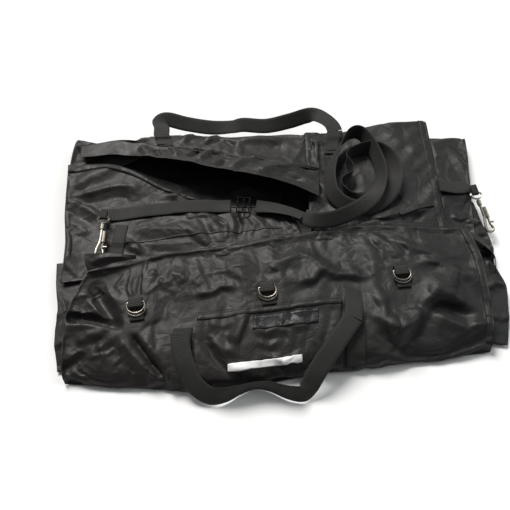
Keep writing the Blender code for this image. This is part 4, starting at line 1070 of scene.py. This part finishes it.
def build_pocket():
    pocket = patch("pocket_cloth", near, POCKET_U, POCKET_V, (150, 70), 0.0012, CLOTH_THICKNESS, "nylon",
                   ["pocket_panel"], 0.0016, POCKET_FOLDS)
    patch("pocket_top_hem", pocket, (0.0, 1.0), (0.955, 1.0), (120, 3), TAPE_LIFT, 0.0010, "nylon",
          ["pocket_hem"])
    patch("pocket_zip_welt", pocket, (0.392, 0.842), (0.840, 0.941), (60, 6), 0.0003, 0.0010, "glossy",
          ["pocket_welt"], 0.0006)
    patch("pocket_plain_bar", pocket, (0.235, 0.735), (0.385, 0.520), (70, 8), 0.0003, 0.0004, "print",
          ["pocket_mark"])
    stitches("pocket_stitches", pocket, [[(0.01, 0.970), (0.99, 0.970)], [(0.012, 0.03), (0.012, 0.95)],
                                         [(0.988, 0.03), (0.988, 0.95)]], 0.0014)


def build_webbing():
    webbing("near_handle_strap", NEAR_HANDLE_ROUTE, HANDLE_WIDTH, 220, "near_handle", ["near_handle"])
    webbing("far_handle_strap", FAR_STRAP_ROUTE, HANDLE_WIDTH, 200, "far_handle", ["far_handle"])
    for side, span_u in NEAR_LEGS.items():
        patch(f"near_leg_strap_{side}", near, span_u, (0.08, 0.47), (8, 60), 0.0012, WEBBING, "webbing",
              [f"near_handle_leg_{side}"])
    patch("far_leg_strap_left", far, FAR_LEG, (0.03, 0.50), (8, 30), 0.0012, WEBBING, "webbing",
          ["far_handle_leg_left"])
    patch("far_leg_strap_right", lid, LID_LEG, (0.58, 0.72), (8, 30), 0.0012, WEBBING, "webbing",
          ["far_handle_leg_right"])
    sewn_end("near_end_left", near, 0.3015, (0.440, 0.490), NEAR_HANDLE_ROUTE[-1], (1.0, 0.06, 0.0))
    sewn_end("near_end_right", near, 0.7120, (0.530, 0.570), NEAR_HANDLE_ROUTE[0], (0.86, -0.50, 0.0))
    sewn_end("far_end_left", far, 0.333, (0.30, 0.10), FAR_STRAP_ROUTE[0], (1.0, 0.05, 0.0))
    sewn_end("far_end_right", lid, 0.250, (0.650, 0.600), FAR_STRAP_ROUTE[-1], (1.0, 0.05, 0.0))
    webbing("strap_left", resting(LEFT_RUN_ROUTE, [middle], STRAP_WIDTH), STRAP_WIDTH, 120, "bag",
            ["strap_left_run"])
    webbing("strap_middle", MIDDLE_RUN_ROUTE, STRAP_WIDTH, 50, "bag", ["strap_middle_run"])
    webbing("strap_right", RIGHT_RUN_ROUTE, STRAP_WIDTH, 80, "bag", ["strap_right_run"])
    webbing("strap_loose_turns", COIL_ROUTE, STRAP_WIDTH, 420, "bag", ["strap_coil"])
    webbing("left_hook_webbing", resting(LEFT_END_ROUTE, [middle], 0.030), 0.030, 40, "bag",
            ["left_strap_end"])
    webbing("right_edge_loop", RIGHT_END_ROUTE, 0.022, 60, "bag", ["right_end_loop"])


def sewn_end(name, cloth, u, places, route_end, across):
    """Webbing that carries on from a handle's end down to where it is sewn on the cloth."""
    end = np.array(route_end[:3]) - ORIGIN
    first, normal = cloth.sampled(u, places[0], 0.0034)
    last, _ = cloth.sampled(u, places[1], 0.0030)
    halfway = 0.5 * (end + first) + normal * 0.002
    line = spline_through(np.array([end + (0, 0, 0.0002), halfway, first, last]), np.linspace(0, 1, 30))
    tangent = unit(np.gradient(line, axis=0))
    wide = np.tile(direction(np.array(across)), (len(line), 1))
    normals = unit(np.cross(wide, tangent))
    add_piece(name, ribbon_mesh(name, line, wide, normals, HANDLE_WIDTH, WEBBING), "webbing")


def surface_frame(net, u, v):
    """Frame on a net's smooth surface: X along the length, Y up the slope, Z off the cloth."""
    def at(a, b):
        column = spline_through(np.swapaxes(np.array(net), 0, 1), [a])[0]
        return spline_through(column, [b])[0] - ORIGIN

    step = 0.002
    point = at(u, v)
    normal = direction(np.cross(at(u + step, v) - at(u - step, v), at(u, v + step) - at(u, v - step)))
    along = direction(at(u + 0.01, v) - point)
    across = direction(np.cross(normal, along))
    matrix = np.eye(4)
    matrix[:3] = np.column_stack([along, across, normal, point])
    return matrix


def hook_frame(place):
    """Frame of a hook: -Y runs down the hook, +X is the side of the barrel and bolt, +Z is up."""
    point, heading, slope = place
    turn = Matrix.Rotation(math.radians(heading + 90.0), 4, "Z")
    tilt = Matrix.Rotation(math.radians(-slope), 4, "X")
    return np.array(Matrix.Translation(Vector(point) - Vector(ORIGIN)) @ turn @ tilt)


def folded_webbing(name, frame_matrix, section, width, thickness, steps, replaces):
    """Webbing across a local frame, its section a smooth curve of local Y and Z."""
    line = spline_through(np.array(section), np.linspace(0, 1, steps))
    tangent = unit(np.gradient(line, axis=0))
    turn = frame_matrix[:3, :3]
    centres = np.array([turn @ (0.0, y, z) + frame_matrix[:3, 3] for y, z in line])
    normals = np.array([turn @ (0.0, -tz, ty) for ty, tz in tangent])
    across = np.tile(turn @ (1.0, 0.0, 0.0), (len(line), 1))
    mesh = ribbon_mesh(name, centres, across, normals, width, thickness)
    add_piece(name, mesh, "webbing", "bag", replaces)


def wire_mesh(name, path, radius, sides=16):
    """A closed round wire through a closed list of points."""
    count = len(path)
    tangent = unit(np.roll(path, -1, axis=0) - np.roll(path, 1, axis=0))
    up = direction(np.cross(path[0] - path[count // 3], path[0] - path[2 * count // 3]))
    side = np.cross(tangent, up)
    points = np.array([[path[k] + radius * (side[k] * math.cos(a) + up * math.sin(a))
                        for a in np.linspace(0, 2 * math.pi, sides + 1)[:-1]] for k in range(count)])
    index = np.arange(count * sides).reshape(count, sides)
    there = np.roll(index, -1, axis=0)
    return quad_mesh(name, points, (index, np.roll(index, -1, axis=1), np.roll(there, -1, axis=1), there))


def d_outline(width, depth, radius, steps=96):
    """Centre line of a D-ring: the bar along X at y = 0, the bow towards -Y, with rounded corners."""
    half = width / 2 - radius
    drop = depth - radius
    shoulder = drop * 0.40
    corner = 0.004
    points = [(half - corner, 0.0), (0.0, 0.0), (-half + corner, 0.0), (-half + corner * 0.3, -corner * 0.3),
              (-half, -corner), (-half, -shoulder)]
    points += [(-half * math.cos(a), -shoulder - (drop - shoulder) * math.sin(a))
               for a in np.arange(1, 12) * math.pi / 12]
    points += [(half, -shoulder), (half, -corner), (half - corner * 0.3, -corner * 0.3), (half - corner, 0.0)]
    return spline_through(np.array(points), np.linspace(0, 1, steps + 1))[:-1]


def build_rings():
    """The folded webbing tabs with their two D-rings each."""
    low = TAB_LIFT + WEBBING + 0.0008 + RING_WIRE
    section = [(-0.034, TAB_LIFT + 0.0006), (-0.012, TAB_LIFT + 0.0006), (0.0095, TAB_LIFT + 0.0006),
               (0.0150, TAB_LIFT + 0.0034), (0.0145, TAB_CROWN - 0.0034), (0.0085, TAB_CROWN - 0.0006),
               (-0.0045, TAB_CROWN - 0.0006), (-0.0074, TAB_CROWN - 0.0022), (-0.0110, TAB_LIFT + 0.0030),
               (-0.018, TAB_LIFT + 0.0019), (-0.034, TAB_LIFT + 0.0019)]
    seams = []
    for side, (u, v) in NEAR_RINGS.items():
        matrix = surface_frame(NEAR_NET, u, v)
        folded_webbing(f"tab_webbing_{side}", matrix, section, 0.030, 0.0012, 90, [f"ring_tab_{side}"])
        for level, name in enumerate(("lower", "upper")):
            outline = d_outline(RING_WIDTH, RING_DEPTH, RING_WIRE)
            local = np.column_stack([outline[:, 0], outline[:, 1] + level * UPPER_RING_BACK - 0.001,
                                     np.full(len(outline), low + level * UPPER_RING_RISE)])
            path = local @ matrix[:3, :3].T + matrix[:3, 3]
            piece = f"ring_wire_{side}_{name}"
            add_piece(piece, wire_mesh(piece, path, RING_WIRE), "nickel", f"d_ring_{side}_{name}",
                      [f"d_ring_{side}_{name}"])
        top = TAB_LIFT + 0.0026
        corners = [(-0.012, -0.0320), (0.012, -0.0320), (0.012, -0.0185), (-0.012, -0.0185),
                   (-0.012, -0.0320), (0.012, -0.0185), (0.012, -0.0320), (-0.012, -0.0185)]
        path = np.array([[x, y, top] for x, y in corners])
        dense = np.array([path[k] + (path[k + 1] - path[k]) * t for k in range(len(path) - 1)
                          for t in np.linspace(0, 1, 12)[:-1]])
        seams.append((dense @ matrix[:3, :3].T + matrix[:3, 3], np.tile(matrix[:3, 2], (len(dense), 1))))
    add_piece("tab_stitches", stitch_mesh("tab_stitches", seams, 0.0020, 0.0009, 0.0003), "thread")


def build_hook_webbing():
    """The strap's ends, folded narrow through the hooks' eyes."""
    around = EYE_WIRE + 0.0007 + WEBBING / 2
    bend = [(-around * math.sin(a), -around * math.cos(a)) for a in np.arange(1, 8) * math.pi / 8]
    section = [(0.022, -around), (0.011, -around), (0.0, -around), *bend,
               (0.0, around), (0.011, around), (0.022, around)]
    for side, place in (("left", LEFT_HOOK), ("right", RIGHT_HOOK)):
        folded_webbing(f"{side}_eye_webbing", hook_frame(place), section, 0.016, WEBBING, 70,
                       [f"{side}_strap_loop"])


def build_stitches():
    stitches("near_panel_stitches", near, [
        [(0.01, 0.050), (0.27, 0.050)], [(0.74, 0.050), (0.985, 0.050)], [(0.978, 0.22), (0.978, 0.96)],
        [(0.01, 0.945), (0.98, 0.945)], [(0.324, 0.08), (0.324, 0.545), (0.692, 0.545), (0.692, 0.08)]])
    stitches("mouth_stitches", middle, [[(0.01, 0.960), (0.99, 0.960)], [(0.01, 0.988), (0.99, 0.988)]],
             0.0017)
    stitches("middle_seam_stitches", middle, [[(0.21, 0.304), (0.91, 0.304)]], 0.0013)
    stitches("lid_stitches", lid, [[(0.953, 0.03), (0.953, 0.92)], [(0.982, 0.03), (0.982, 0.92)]], 0.0017)
    for side, (a, b) in NEAR_LEGS.items():
        stitches(f"leg_stitches_{side}", near, [[(a + 0.004, 0.09), (a + 0.004, 0.46)],
                                                [(b - 0.004, 0.09), (b - 0.004, 0.46)],
                                                [(a + 0.004, 0.40), (b - 0.004, 0.46)],
                                                [(b - 0.004, 0.40), (a + 0.004, 0.46)]], 0.0032)


def keep_cad_finishes():
    """Gives every frame node its node-based material."""
    for name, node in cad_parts.items():
        node.data.materials.clear()
        node.data.materials.append(MATERIALS[finish_of(name)])


def finish_of(name):
    """The finish of a frame node, by its kind."""
    if name.startswith("d_ring") or "_hook_" in name:
        return "nickel"
    if name == "strap_adjuster":
        return "black_metal"
    if "handle" in name or "strap" in name or name == "right_end_loop" or name.startswith("ring_tab"):
        return "webbing"
    return {"pocket_welt": "glossy", "pocket_mark": "print", "mouth_lining": "lining"}.get(name, "nylon")


def build():
    build_camera()
    build_light()
    build_floor()
    keep_cad_finishes()
    build_panels()
    build_lip()
    build_small_cloths()
    build_base()
    build_seams()
    build_pocket()
    build_webbing()
    build_rings()
    build_hook_webbing()
    build_stitches()


build()
